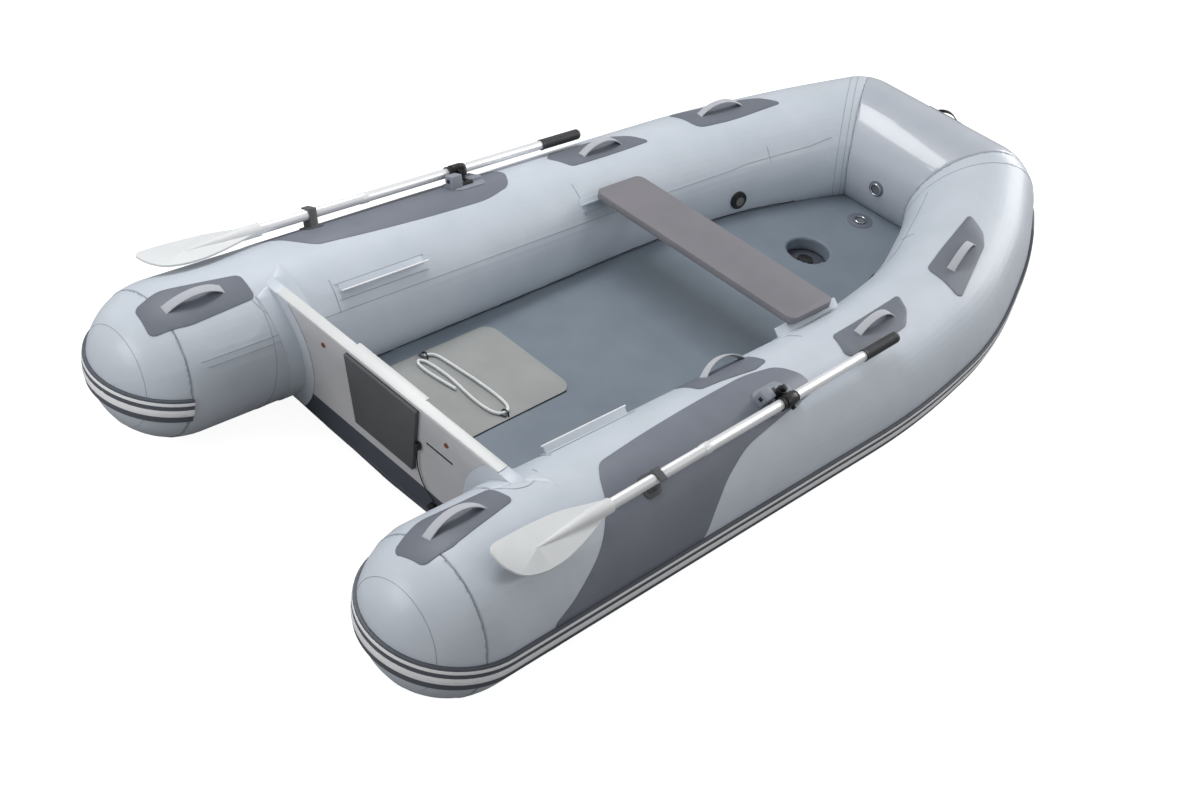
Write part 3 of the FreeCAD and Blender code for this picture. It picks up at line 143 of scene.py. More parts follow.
# %% Rubber-coated fabrics
TUBE_RUBBER = surface("calendered_rubber_light_grey", "c6cdd6", "bcc4cd", 0.42, 3.0, 0.05,
                      Coat_Weight=0.12, Coat_Roughness=0.15)
BOW_RUBBER = surface("calendered_rubber_mid_grey", "b4bac3", "abb1bb", 0.40, 3.0, 0.05,
                     Coat_Weight=0.45, Coat_Roughness=0.07)
PATCH_RUBBER = surface("calendered_rubber_dark_grey", "6e747f", "646973", 0.50, 3.0, 0.06)
PANEL_RUBBER = surface("calendered_rubber_panel_grey", "757a85", "6a6f7a", 0.47, 3.0, 0.06)
BOTTOM_RUBBER = surface("calendered_rubber_charcoal", "474c56", "40444d", 0.55, 3.0, 0.06)
FLOOR_RUBBER = surface("drop_stitch_rubber_grey", "7c8792", "727d88", 0.46, 3.5, 0.06)
STRAKE_RUBBER = surface("extruded_rubber_dark_grey", "565b64", "4c5159", 0.50, 2.5, 0.04)
# The white is the stripes' own colour; it also draws the painted highlight on the spare rails.
STRIPE_WHITE_AND_RAIL_HIGHLIGHT = surface("extruded_rubber_white_and_rail_highlight", "f4f5f7", "ececef", 0.42, 2.5, 0.03)
# The seam grey is partly cement and partly painted shade, the shadow at an overlap's edge.
SEAM_CEMENT_AND_SHADE = surface("seam_cement_and_painted_shade", "8f959f", "858b95", 0.60, 2.0, 0.03)

# %% [markdown]
# The transom is marine plywood sprayed grey, its edge is capped with white PVC, and the seat is
# painted ply with a finer, flatter paint. The pad on the transom is moulded rubber; the mat is
# closed-cell foam with a sanded, felt-like face.

# %% Boards, pads and foam
TRANSOM_PAINT = surface("sprayed_polyurethane_light_grey", "c2c2c5", "b9b9bc", 0.42, 6.0, 0.03)
SEAT_PAINT = surface("sprayed_polyurethane_mid_grey", "7c7a80", "737278", 0.50, 1.6, 0.05)
CAP_PVC = surface("extruded_pvc_white", "d6d8d8", "cbcdce", 0.35, 8.0, 0.02)
PAD_RUBBER = surface("moulded_rubber_black_grey", "56575a", "4d4e51", 0.62, 2.0, 0.08)
MAT_FOAM = surface("closed_cell_foam_light_grey", "a3a5a4", "989a99", 0.80, 2.2, 0.12)

# %% [markdown]
# Small fittings: black nylon for the rowlocks, dipped vinyl for the grips, bronze for the two
# studs, bright anodised aluminium for the oar shafts, and off-white polypropylene for the blades.
# The cords are braided, the handles woven, and one near-black finish draws the shadow lines.

# %% Plastics, metals and cords
BLACK_NYLON = surface("moulded_nylon_black", "1b1c1f", "141517", 0.38, 2.0, 0.04)
GRIP_VINYL = surface("dipped_vinyl_black", "34353a", "2b2c30", 0.50, 1.5, 0.05)
STUD_BRONZE = surface("lacquered_bronze", "b0713c", "8d5628", 0.35, 2.0, 0.02, metallic=0.8)
STEEL = surface("polished_stainless_steel", "c9cacc", "bfc0c2", 0.22, 3.0, 0.01, metallic=1.0)
SHAFT_ALLOY = surface("anodised_aluminium", "f3f4f6", "e9ebee", 0.38, 1.2, 0.01, metallic=0.35)
BLADE_PLASTIC = surface("moulded_polypropylene_white", "dddfe0", "d2d5d7", 0.45, 4.0, 0.04,
                        Subsurface_Weight=0.05)
LUG_GREY = surface("moulded_rubber_blue_grey", "8c929d", "81868f", 0.45, 2.0, 0.05)
VALVE_CAP = surface("moulded_nylon_warm_grey", "77746f", "6c6964", 0.45, 2.0, 0.04)
EDGE_DARK = surface("seam_shadow_grey", "2c3036", "25292e", 0.80, 2.0, 0.02)
WEBBING = surface("woven_polyester_light_grey", "b9bcc2", "abaeb5", 0.75, 2.0, 0.2)
BLACK_BRAID = surface("braided_nylon_black", "202225", "18191c", 0.70, 1.5, 0.1)
WHITE_BRAID = surface("braided_polyester_white", "eceeee", "dfe2e2", 0.70, 1.5, 0.1)

FINISH = {
    "tube_fabric": TUBE_RUBBER, "bow_fabric": BOW_RUBBER, "strake_rubber": STRAKE_RUBBER,
    "stripe_rubber": STRIPE_WHITE_AND_RAIL_HIGHLIGHT, "patch_fabric": PATCH_RUBBER, "webbing": WEBBING,
    "board_paint": TRANSOM_PAINT, "cap_plastic": CAP_PVC, "pad_rubber": PAD_RUBBER,
    "bottom_fabric": BOTTOM_RUBBER, "stud_metal": STUD_BRONZE, "black_plastic": BLACK_NYLON,
    "black_cord": BLACK_BRAID, "floor_fabric": FLOOR_RUBBER, "seat_paint": SEAT_PAINT,
    "mat_fabric": MAT_FOAM, "strap_fabric": WHITE_BRAID, "steel": STEEL,
    "shaft_alloy": SHAFT_ALLOY, "blade_plastic": BLADE_PLASTIC,
}
SLOT_OF = {row["node"]: row["material_slot"] for row in frame["record"]["subparts"]}
BODY_OF = {node: body for body, nodes in frame["record"]["behaviour"]["bodies"].items()
           for node in nodes}

# %% [markdown]
# Every rigid piece keeps its shape from the frame. Its mesh arrives as loose triangles, so a
# Weld modifier joins them, a small Bevel rounds the edges that would be rounded by moulding or
# sanding, and the faces are shaded smooth up to an angle.

# %% Finish the rigid pieces
EDGE_ROUND_MM = {
    "transom": 1.5, "motor_pad_outer": 2.0, "motor_plate_inner": 1.5, "seat_board": 2.5,
    "floor_mat": 0.8, "transom_cap": 1.2, "lanyard_cleat": 1.0, "drain_plug": 1.5,
    "keel_valve": 2.0, "air_valves": 1.2,
}
SMALL_ROUND_MM = 0.5
SMOOTH_DEG = 40
WELD_M = 0.00002


def only(item):
    """Select one object alone and make it active."""
    bpy.ops.object.select_all(action="DESELECT")
    item.select_set(True)
    bpy.context.view_layer.objects.active = item


def finish_rigid(node):
    """Weld, bevel and shade one piece of the frame, and give it its material."""
    item = NODES[node]
    item.data.materials.clear()
    item.data.materials.append(FINISH[SLOT_OF[node]])
    weld = item.modifiers.new("weld", "WELD")
    weld.merge_threshold = WELD_M
    bevel = item.modifiers.new("soft_edge", "BEVEL")
    bevel.width = EDGE_ROUND_MM.get(node, SMALL_ROUND_MM) * MM
    bevel.segments = 2
    bevel.limit_method = "ANGLE"
    bevel.angle_limit = math.radians(SMOOTH_DEG)
    bevel.use_clamp_overlap = True
    only(item)
    bpy.ops.object.shade_smooth_by_angle(angle=math.radians(SMOOTH_DEG))


for node in NODES:
    finish_rigid(node)
for side, side_name in SIDES:
    NODES[f"side_panel_{side_name}"].data.materials[0] = PANEL_RUBBER
    NODES[f"rowlock_base_{side_name}"].data.materials[0] = LUG_GREY

# %% [markdown]
# Fabric pieces are replaced by skins. Seams and straps are placed on the tubes by two numbers: how
# far ahead on the tube, and the angle around it, measured up from outboard. A ray is cast at the
# tube from there, so everything sits on the real surface, wherever the tube bends.

# %% Places on the tubes
TUBE_NODES = ("tube_port", "tube_starboard", "stern_cone_port", "stern_cone_starboard", "tube_bow")
TUBE_LINE_MM = ((-1337, 557, 213.6), (329, 557, 213.6), (788, 517, 246.9), (1149, 406, 318.9),
                (1336.4, 308, 380.0))
RAY_START_M = 0.34
LOOK_M = 0.06


def tree_of(nodes):
    """One search tree over the meshes of several CAD nodes."""
    corners, faces = [], []
    for node in nodes:
        mesh = NODES[node].data
        first = len(corners)
        corners += [vertex.co.copy() for vertex in mesh.vertices]
        faces += [[first + index for index in face.vertices] for face in mesh.polygons]
    return BVHTree.FromPolygons(corners, faces)


TUBES = tree_of(TUBE_NODES)


def tube_centre(side, ahead):
    """Point of a side tube's centre line at one distance ahead, in metres."""
    line = [Vector(point) * MM for point in TUBE_LINE_MM]
    for start, end in zip(line, line[1:]):
        if ahead <= end.x or end is line[-1]:
            break
    share = (ahead - start.x) / (end.x - start.x)
    if ahead < line[0].x:
        start, end, share = line[0], line[0] + Vector((1, 0, 0)), ahead - line[0].x
    point = start.lerp(end, share)
    return Vector((point.x, point.y * side, point.z))


def skin_at(side, ahead, angle_deg, lift_mm=0.0):
    """Point and outward direction on a side tube's skin."""
    centre = tube_centre(side, ahead)
    forward = (tube_centre(side, ahead + LOOK_M) - tube_centre(side, ahead - LOOK_M)).normalized()
    up = (Vector((0, 0, 1)) - forward * forward.z).normalized()
    out = up.cross(forward) * side
    turn = math.radians(angle_deg)
    away = out * math.cos(turn) + up * math.sin(turn)
    hit = TUBES.ray_cast(centre + away * RAY_START_M, -away)[0]
    return hit + away * lift_mm * MM, away


def tube_place(side, point):
    """Distance ahead and angle around a side tube of a point near its skin."""
    centre = tube_centre(side, point.x)
    return point.x, math.degrees(math.atan2(point.z - centre.z, (point.y - centre.y) * side))


print("top of the port tube at the seat", [round(v, 3) for v in skin_at(1, 0.0, 90)[0]])

# %% [markdown]
# The skins start as copies of the solids. Their triangles are merged, remeshed into small even
# squares and pulled back onto the solid, so that a seam can then be pressed into them point by
# point: an overlap stands up by less than a millimetre, with a few soft puckers beside it, as
# where glued cloth meets and the pressure pulls it round.

# %% Skin helper
def clean_copy(node, name):
    """Merged copy of a CAD node's mesh, as an object of its own."""
    only(NODES[node])
    bpy.ops.object.duplicate()
    item = bpy.context.object
    item.name = name
    item.modifiers.clear()
    item.parent = None
    item.matrix_world = Matrix.Identity(4)
    for key in list(item.keys()):
        del item[key]
    bpy.ops.object.mode_set(mode="EDIT")
    bpy.ops.mesh.select_all(action="SELECT")
    bpy.ops.mesh.remove_doubles(threshold=WELD_M)
    bpy.ops.object.mode_set(mode="OBJECT")
    return item


def soft_skin(node, name, square_mm, material):
    """Evenly meshed skin in the shape of a CAD node, which it replaces."""
    item = clean_copy(node, name)
    item.data.materials.clear()
    item.data.materials.append(material)
    remesh = item.modifiers.new("even_squares", "REMESH")
    remesh.mode = "VOXEL"
    remesh.voxel_size = square_mm * MM
    wrap = item.modifiers.new("back_on_solid", "SHRINKWRAP")
    wrap.target = NODES[node]
    wrap.wrap_method = "NEAREST_SURFACEPOINT"
    for modifier in list(item.modifiers):
        bpy.ops.object.modifier_apply(modifier=modifier.name)
    bpy.ops.object.shade_smooth()
    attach(item, BODY_OF[node])
    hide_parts(node)
    return item


def press(item, relief_mm):
    """Move a skin's points along their normals by a function of their place, in millimetres."""
    mesh = item.data
    moved = [vertex.co + vertex.normal * relief_mm(vertex.co) * MM for vertex in mesh.vertices]
    for vertex, place in zip(mesh.vertices, moved):
        vertex.co = place
    mesh.update()


def band(value, low, high, soft):
    """One between low and high, falling to nothing over a soft edge outside them."""
    outside = max(low - value, value - high, 0.0)
    return max(0.0, 1.0 - outside / soft)

# %% [markdown]
# Each side tube has a ring seam where its cone starts, another near its tip, one behind the
# transom, and one long seam along its inner face. Their places were read from the photograph.

# %% Tube skins
CONE_RING_M = -1.405
RING_OVERLAP_M = 0.020
TIP_RING_M = -1.499
TRANSOM_RING_M = -1.151
LONG_SEAM_DEG = 149
LONG_OVERLAP_DEG = 5
OVERLAP_MM = 0.4
PUCKER_MM = 0.25
PUCKERS_ROUND = 34
PUCKER_REACH_M = 0.03
SEAM_FADE_DEG = 1.5
RING_FADE_M = 0.006
TUBE_SQUARE_MM = 7


def tube_relief(side):
    """Relief of one side tube's skin: overlaps at its seams, with puckers beside the rings."""
    def relief(point):
        ahead, angle = tube_place(side, point)
        height = OVERLAP_MM * band(angle, LONG_SEAM_DEG, LONG_SEAM_DEG + LONG_OVERLAP_DEG,
                                   SEAM_FADE_DEG)
        for ring in (CONE_RING_M, TRANSOM_RING_M):
            near_ring = band(ahead, ring, ring + RING_OVERLAP_M, RING_FADE_M)
            height = max(height, OVERLAP_MM * near_ring)
            near = math.exp(-((ahead - ring - RING_OVERLAP_M / 2) / PUCKER_REACH_M) ** 2)
            height += PUCKER_MM * near * 0.5 * math.sin(math.radians(angle) * PUCKERS_ROUND)
        near_tip = band(ahead, TIP_RING_M, TIP_RING_M + RING_OVERLAP_M, RING_FADE_M)
        return max(height, OVERLAP_MM * near_tip)
    return relief


SKINS = {}
for side, side_name in SIDES:
    for node in (f"tube_{side_name}", f"stern_cone_{side_name}"):
        skin = soft_skin(node, f"{node}_skin", TUBE_SQUARE_MM, TUBE_RUBBER)
        press(skin, tube_relief(side))
        SKINS[node] = skin
SKINS["tube_bow"] = soft_skin("tube_bow", "tube_bow_skin", TUBE_SQUARE_MM, BOW_RUBBER)
print("tube skins", {name: len(skin.data.polygons) for name, skin in SKINS.items()})

# %% [markdown]
# The floor is a drop-stitch panel, blown up hard, and the bottom is a single sheet under it.

# %% Floor and bottom skins
FLOOR_SQUARE_MM = 8
BOTTOM_SQUARE_MM = 6
floor_skin = soft_skin("air_floor", "air_floor_skin", FLOOR_SQUARE_MM, FLOOR_RUBBER)
bottom_skin = soft_skin("hull_bottom", "hull_bottom_skin", BOTTOM_SQUARE_MM, BOTTOM_RUBBER)
print("floor", len(floor_skin.data.polygons), "bottom", len(bottom_skin.data.polygons))

# %% [markdown]
# Glued edges show as thin dark lines. Each is a thin bead on the skin, partly the cement at the
# glued edge and partly painted shade, the fine shadow that an overlap's edge throws. It is a curve
# through points of the tube, given a round section and made a mesh.

# %% Cement and painted shade along the seams
SEAM_LINE_MM = 0.7
SEAM_LIFT_MM = 0.6
RING_POINTS = 73


def lines(name, paths, radius_mm, material, body="hull", closed=()):
    """Thin round beads along several paths, as one mesh."""
    bpy.ops.object.select_all(action="DESELECT")
    bpy.ops.curve.primitive_bezier_curve_add(location=(0, 0, 0))
    item = bpy.context.object
    item.name = name
    item.data.splines.clear()
    for number, path in enumerate(paths):
        spline = item.data.splines.new("POLY")
        spline.points.add(len(path) - 1)
        for point, place in zip(spline.points, path):
            point.co = (*place, 1)
        spline.use_cyclic_u = number in closed
    item.data.bevel_depth = radius_mm * MM
    item.data.bevel_resolution = 1
    item.data.use_fill_caps = True
    bpy.ops.object.convert(target="MESH")
    item = bpy.context.object
    item.data.materials.clear()
    item.data.materials.append(material)
    bpy.ops.object.shade_smooth()
    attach(item, body)
    return item


def run(low, high, count):
    """Evenly spaced numbers from low to high."""
    return [low + (high - low) * step / (count - 1) for step in range(count)]


def around(side, ahead, low_deg=0, high_deg=360, count=RING_POINTS, lift_mm=SEAM_LIFT_MM):
    """Points round a side tube at one place."""
    return [skin_at(side, ahead, angle, lift_mm)[0] for angle in run(low_deg, high_deg, count)]


def along(side, low, high, angle_deg, count, lift_mm=SEAM_LIFT_MM):
    """Points along a side tube at one angle."""
    return [skin_at(side, ahead, angle_deg, lift_mm)[0] for ahead in run(low, high, count)]


PORT_LOBE = ((-1.165, 120), (-1.155, 127), (-1.140, 133), (-1.120, 137), (-1.098, 138.5))
TOP_LOBE = ((-1.150, 118), (-1.134, 112), (-1.116, 105), (-1.095, 102.5), (-1.078, 102),
            (-1.056, 103.5), (-1.040, 106), (-1.026, 108.5), (-1.018, 112), (-1.016, 117))
LOBES = {1: PORT_LOBE, -1: TOP_LOBE}
TICKS = ((-0.923, 124, 150), (0.058, 114, 144), (0.940, 139, 153))
TRANSOM_RING_DEG = (118, 240)
AFT_SEAM_M = (-1.37, -1.10)
AFT_OVERLAP_M = (-1.355, -1.11)
FORE_SEAM_M = (-1.03, 1.21)

for side, side_name in SIDES:
    paths = [around(side, CONE_RING_M), around(side, TIP_RING_M),
             around(side, TRANSOM_RING_M, *TRANSOM_RING_DEG, count=30),
             along(side, *AFT_SEAM_M, LONG_SEAM_DEG, count=30),
             along(side, *AFT_OVERLAP_M, LONG_SEAM_DEG + LONG_OVERLAP_DEG, count=30),
             along(side, *FORE_SEAM_M, LONG_SEAM_DEG, count=116),
             [skin_at(side, ahead, angle, SEAM_LIFT_MM)[0] for ahead, angle in LOBES[side]]]
    paths += [around(side, ahead, low, high, count=9) for ahead, low, high in TICKS]
    seams = lines(f"seam_lines_{side_name}", paths, SEAM_LINE_MM, SEAM_CEMENT_AND_SHADE, closed=(0, 1))
    print(seams.name, len(seams.data.polygons))

# %% [markdown]
# At each bow corner the side tube and the bow tube are cut on a slant and glued. At the port
# corner the far edge of the tape over that joint shows as a second line on the bow tube.

# %% Bow corner seams
CORNER_TAPE_M = 0.028
CORNER_REACH_M = 0.6
CORNER_LIFT_MM = 0.5


def corner_ring(side, shift):
    """Points round a bow corner, in the plane that halves it, moved along the bow tube."""
    before, corner = (Vector((x, y * side, z)) * MM for x, y, z in TUBE_LINE_MM[-2:])
    arriving = (corner - before).normalized()
    leaving = Vector((0, -side, 0))
    normal = (arriving + leaving).normalized()
    across = normal.cross(Vector((0, 0, 1))).normalized()
    up = across.cross(normal)
    start = corner + leaving * shift
    ring = []
    for turn in run(0, 2 * math.pi, RING_POINTS):
        away = across * math.cos(turn) + up * math.sin(turn)
        hit = TUBES.ray_cast(start + away * CORNER_REACH_M, -away)[0]
        ring.append(hit + away * CORNER_LIFT_MM * MM)
    return ring


# These corner lines are cement with painted shade, like the seam lines.
corner_paths = [corner_ring(1, 0.0), corner_ring(-1, 0.0), corner_ring(1, CORNER_TAPE_M)]
corner_seams = lines("bow_corner_seams", corner_paths, SEAM_LINE_MM, SEAM_CEMENT_AND_SHADE, closed=(0, 1, 2))
print("bow corner seams", len(corner_seams.data.polygons))

# %% [markdown]
# A carrying handle is an arch of webbing with a rubber face. It starts as a flat grid, which is
# bent into the arch, thickened with Solidify and rounded with Bevel. Its ends go through two slits
# in the patch.

# %% Carrying handles
HANDLE_LENGTH_MM = 176
HANDLE_RISE_MM = 33
HANDLE_WIDE_MM = 25
HANDLE_THICK_MM = 4
HANDLE_CROWN_MM = 0.9
HANDLE_FLARE = 0.10
HANDLE_EDGE_MM = 1.4
HANDLE_SMOOTH_DEG = 60
HANDLE_GRID = (36, 6)
SLIT_INSET_MM = 3
SLIT_HALF_MM = 4
SLIT_WIDE_SHARE = 0.62
SLIT_BOTTOM_MM, SLIT_TOP_MM = -1.2, 0.5
SLIT_ROUND_MM = 0.5
PATCH_MM = 1.8
HANDLES = (
    (1, "stern_port", -1.3097, 104), (-1, "stern_starboard", -1.3097, 104),
    (-1, "inner_starboard", -0.2392, 127), (1, "side_port", 0.290, 88),
    (-1, "side_starboard", 0.290, 88), (1, "bow_port", 0.8553, 87),
    (-1, "bow_starboard", 0.8353, 87),
)


def handle_place(side, ahead, angle):
    """Matrix of a handle: X from foot to foot, Z out of the skin, origin on the patch."""
    forward = (tube_centre(side, ahead + LOOK_M) - tube_centre(side, ahead - LOOK_M)).normalized()
    reach = HANDLE_LENGTH_MM / 2 * MM * forward.x
    aft = skin_at(side, ahead - reach, angle, PATCH_MM)[0]
    fore = skin_at(side, ahead + reach, angle, PATCH_MM)[0]
    away = skin_at(side, ahead, angle)[1]
    x_axis = (fore - aft).normalized()
    y_axis = away.cross(x_axis).normalized()
    place = Matrix((x_axis, y_axis, x_axis.cross(y_axis))).transposed().to_4x4()
    place.translation = (aft + fore) / 2
    return place


def handle_arch(name, place):
    """Webbing arch in its own frame, moved to its place in the mesh."""
    half, rise = HANDLE_LENGTH_MM / 2 * MM, HANDLE_RISE_MM * MM
    radius = (half * half + rise * rise) / (2 * rise)
    sweep = math.asin(half / radius)
    bpy.ops.object.select_all(action="DESELECT")
    bpy.ops.mesh.primitive_grid_add(x_subdivisions=HANDLE_GRID[0], y_subdivisions=HANDLE_GRID[1],
                                    size=1, location=(0, 0, 0))
    item = bpy.context.object
    item.name = name
    for vertex in item.data.vertices:
        turn = vertex.co.x * 2 * sweep
        crown = -HANDLE_CROWN_MM * MM * (2 * vertex.co.y) ** 2
        wide = HANDLE_WIDE_MM * MM * (1 + HANDLE_FLARE * (2 * vertex.co.x) ** 4)
        arch = radius - HANDLE_THICK_MM / 2 * MM + crown
        vertex.co = (arch * math.sin(turn), vertex.co.y * wide,
                     arch * math.cos(turn) - radius + rise)
    item.data.transform(place)
    solid = item.modifiers.new("webbing", "SOLIDIFY")
    solid.thickness = HANDLE_THICK_MM * MM
    solid.offset = 0
    edge = item.modifiers.new("round_edge", "BEVEL")
    edge.width = HANDLE_EDGE_MM * MM
    edge.segments = 3
    edge.limit_method = "ANGLE"
    bpy.ops.object.modifier_apply(modifier="webbing")
    bpy.ops.object.modifier_apply(modifier="round_edge")
    bpy.ops.object.shade_smooth_by_angle(angle=math.radians(HANDLE_SMOOTH_DEG))
    item.data.materials.append(WEBBING)
    return item


def box_piece(name, place, low_mm, high_mm, round_mm, material, body="hull", segments=2):
    """Block with rounded edges between two corners of a local frame."""
    bpy.ops.object.select_all(action="DESELECT")
    bpy.ops.mesh.primitive_cube_add(size=1, location=(0, 0, 0))
    item = bpy.context.object
    item.name = name
    low, high = Vector(low_mm) * MM, Vector(high_mm) * MM
    middle, spread = (low + high) / 2, high - low
    size_matrix = Matrix.Diagonal((*spread, 1))
    item.data.transform(place @ Matrix.Translation(middle) @ size_matrix)
    edge = item.modifiers.new("round_edge", "BEVEL")
    edge.width = round_mm * MM
    edge.segments = segments
    bpy.ops.object.modifier_apply(modifier="round_edge")
    bpy.ops.object.shade_smooth_by_angle(angle=math.radians(SMOOTH_DEG))
    item.data.materials.append(material)
    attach(item, body)
    return item


def side_block(name, place, side, spans_mm, round_mm, material, segments=2):
    """Rounded block from its spans along X, Y and Z, with Y counted towards one side."""
    (low_x, high_x), (near, far), (low_z, high_z) = spans_mm
    low_y, high_y = sorted((side * near, side * far))
    return box_piece(name, place, (low_x, low_y, low_z), (high_x, high_y, high_z), round_mm,
                     material, segments=segments)


for side, name, ahead, angle in HANDLES:
    place = handle_place(side, ahead, angle)
    arch = handle_arch(f"handle_strap_{name}", place)
    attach(arch, "hull")
    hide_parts(f"handle_{name}")
    for end in (-1, 1):
        foot = end * (HANDLE_LENGTH_MM / 2 - SLIT_INSET_MM)
        reach = HANDLE_WIDE_MM * SLIT_WIDE_SHARE
        box_piece(f"handle_slit_{name}_{'aft' if end < 0 else 'fore'}", place,
                  (foot - SLIT_HALF_MM, -reach, SLIT_BOTTOM_MM),
                  (foot + SLIT_HALF_MM, reach, SLIT_TOP_MM), SLIT_ROUND_MM, SEAM_CEMENT_AND_SHADE)
print("handles", len(HANDLES))

# %% [markdown]
# The floor's edge is tucked under the tubes. A thin black line of painted shade is drawn where the
# tube's skin comes down to the floor's top, for the shadow in that crease.

# %% Line where the floor meets the tubes
FLOOR_TOP_M = ((-0.960, 0.118), (-0.442, 0.137), (0.063, 0.153), (0.657, 0.190), (1.080, 0.232))
FLOOR_SEARCH_DEG = (178, 226)
FLOOR_SEARCH_POINTS = 49
FLOOR_LINE_M = (-0.95, 1.04)
FLOOR_LINE_LIFT_MM = 0.8
FLOOR_LINE_UP_M = 0.001
FLOOR_LINE_MM = 1.5


def floor_top(ahead):
    """Height of the floor's top, from five heights along it."""
    for (low, low_top), (high, high_top) in zip(FLOOR_TOP_M, FLOOR_TOP_M[1:]):
        if ahead <= high:
            break
    return low_top + (high_top - low_top) * (ahead - low) / (high - low)


def floor_edge(side, ahead):
    """Point of a side tube's inner face at the height of the floor's top."""
    tries = around(side, ahead, *FLOOR_SEARCH_DEG, FLOOR_SEARCH_POINTS, FLOOR_LINE_LIFT_MM)
    return min(tries, key=lambda point: abs(point.z - floor_top(point.x) - FLOOR_LINE_UP_M))


# The black beads are painted shade in the crease between tube and floor.
floor_crease_paths = [[floor_edge(side, ahead) for ahead in run(*FLOOR_LINE_M, 70)]
              for side, side_name in SIDES]
floor_crease_shade = lines("floor_crease_shade_lines", floor_crease_paths, FLOOR_LINE_MM, EDGE_DARK)
print("floor edge lines", len(floor_crease_shade.data.polygons))

# %% [markdown]
# Turned pieces are a profile, drawn as a line and swept once round by the Screw modifier. The
# rowlock's sleeves, the ribs of the grips and the caps of the valves are made so, in the frame
# of the oar or of the valve that carries them.

# %% Turned pieces
TURN_STEPS = 40


def turned(name, place, profile_mm, material, body="hull"):
    """Piece swept round the X axis of a frame from (along, radius) pairs in millimetres."""
    bpy.ops.object.select_all(action="DESELECT")
    bpy.ops.curve.primitive_bezier_curve_add(location=(0, 0, 0))
    item = bpy.context.object
    item.name = name
    item.data.splines.clear()
    spline = item.data.splines.new("POLY")
    spline.points.add(len(profile_mm) - 1)
    for point, (along_mm, radius_mm) in zip(spline.points, profile_mm):
        point.co = (along_mm * MM, radius_mm * MM, 0, 1)
    bpy.ops.object.convert(target="MESH")
    item = bpy.context.object
    screw = item.modifiers.new("turn", "SCREW")
    screw.axis = "X"
    screw.steps = TURN_STEPS
    screw.use_merge_vertices = True
    screw.use_smooth_shade = True
    bpy.ops.object.modifier_apply(modifier="turn")
    bpy.ops.object.mode_set(mode="EDIT")
    bpy.ops.mesh.select_all(action="SELECT")
    bpy.ops.mesh.remove_doubles(threshold=WELD_M)
    bpy.ops.mesh.normals_make_consistent(inside=False)
    bpy.ops.object.mode_set(mode="OBJECT")
    item.data.transform(place)
    bpy.ops.object.shade_smooth_by_angle(angle=math.radians(SMOOTH_DEG))
    item.data.materials.append(material)
    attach(item, body)
    return item


OAR_TURNS_DEG = (1.3, 0.55, 21)
ROWLOCK_M = (-0.265, 0.663, 0.441)


def oar_place(side):
    """Frame of an oar at its rowlock: X to the grip, Z along the axis it swings about."""
    toe, rise, tilt = (math.radians(angle) for angle in OAR_TURNS_DEG)
    x_axis = Vector((math.cos(toe) * math.cos(rise), -side * math.sin(toe) * math.cos(rise),
                     math.sin(rise)))
    swing = Vector((0, side * math.sin(tilt), math.cos(tilt)))
    z_axis = (swing - x_axis * x_axis.dot(swing)).normalized()
    place = Matrix((x_axis, z_axis.cross(x_axis), z_axis)).transposed().to_4x4()
    ahead, out, height = ROWLOCK_M
    place.translation = (ahead, side * out, height)
    return place

# %% [markdown]
# On each oar the sleeves, the knob and the grip's ribs turn with the shaft. The rowlock's two
# rubber lugs and the black bridge between them stay on the tube, low enough or far enough aside
# for the shaft to swing past them. Each profile is a list of (along, radius) steps, and a block
# is its spans along the oar, inboard and up, then its rounding.

# %% Oar and rowlock details
SLEEVE_AFT = ((-36, 14.6), (-36, 18.6), (-32, 18.6), (-32, 17), (-20, 17), (-20, 14.6))
SLEEVE_FORE = ((20, 14.6), (20, 17), (30, 17), (30, 14.6))
GRIP_START_MM, GRIP_END_MM = 357, 522
GRIP_COLLAR = ((1, 15.5), (1, 17.6), (6, 17.6))
GRIP_RIB = ((0, 16.1), (1.5, 17.1), (4, 17.1), (5.5, 16.1))
GRIP_TIP = ((-8, 17.2), (0, 16.6), (5, 13), (7, 7), (7.5, 0))
FIRST_RIB_MM, RIB_STEP_MM, NO_RIBS_MM = 9, 7.5, 20
KNOB_PLACE_MM = (9, 21, -9)
KNOB_HALF_MM = Vector((5.5, 6.5, 6.5))
KNOB_ROUND_MM = 2.5
ROWLOCK_BLOCKS = (
    ("lug_aft", ((-66, -25), (25, 60), (-46, 3)), 4, LUG_GREY),
    ("lug_pin", ((-69, -60), (36, 48), (-20, -8)), 3, BLACK_NYLON),
    ("lug_fore", ((27, 66), (-18, 44), (-60, -24)), 4, LUG_GREY),
    ("bridge", ((-26, 20), (12, 56), (-48, -25)), 3, BLACK_NYLON),
)


def grip_profile():
    """Profile of a ribbed grip: a collar, even ribs and a rounded tip."""
    profile = [(GRIP_START_MM + step, radius) for step, radius in GRIP_COLLAR]
    for number in range(int((GRIP_END_MM - GRIP_START_MM - NO_RIBS_MM) / RIB_STEP_MM)):
        at = GRIP_START_MM + FIRST_RIB_MM + number * RIB_STEP_MM
        profile += [(at + step, radius) for step, radius in GRIP_RIB]
    return profile + [(GRIP_END_MM + step, radius) for step, radius in GRIP_TIP]


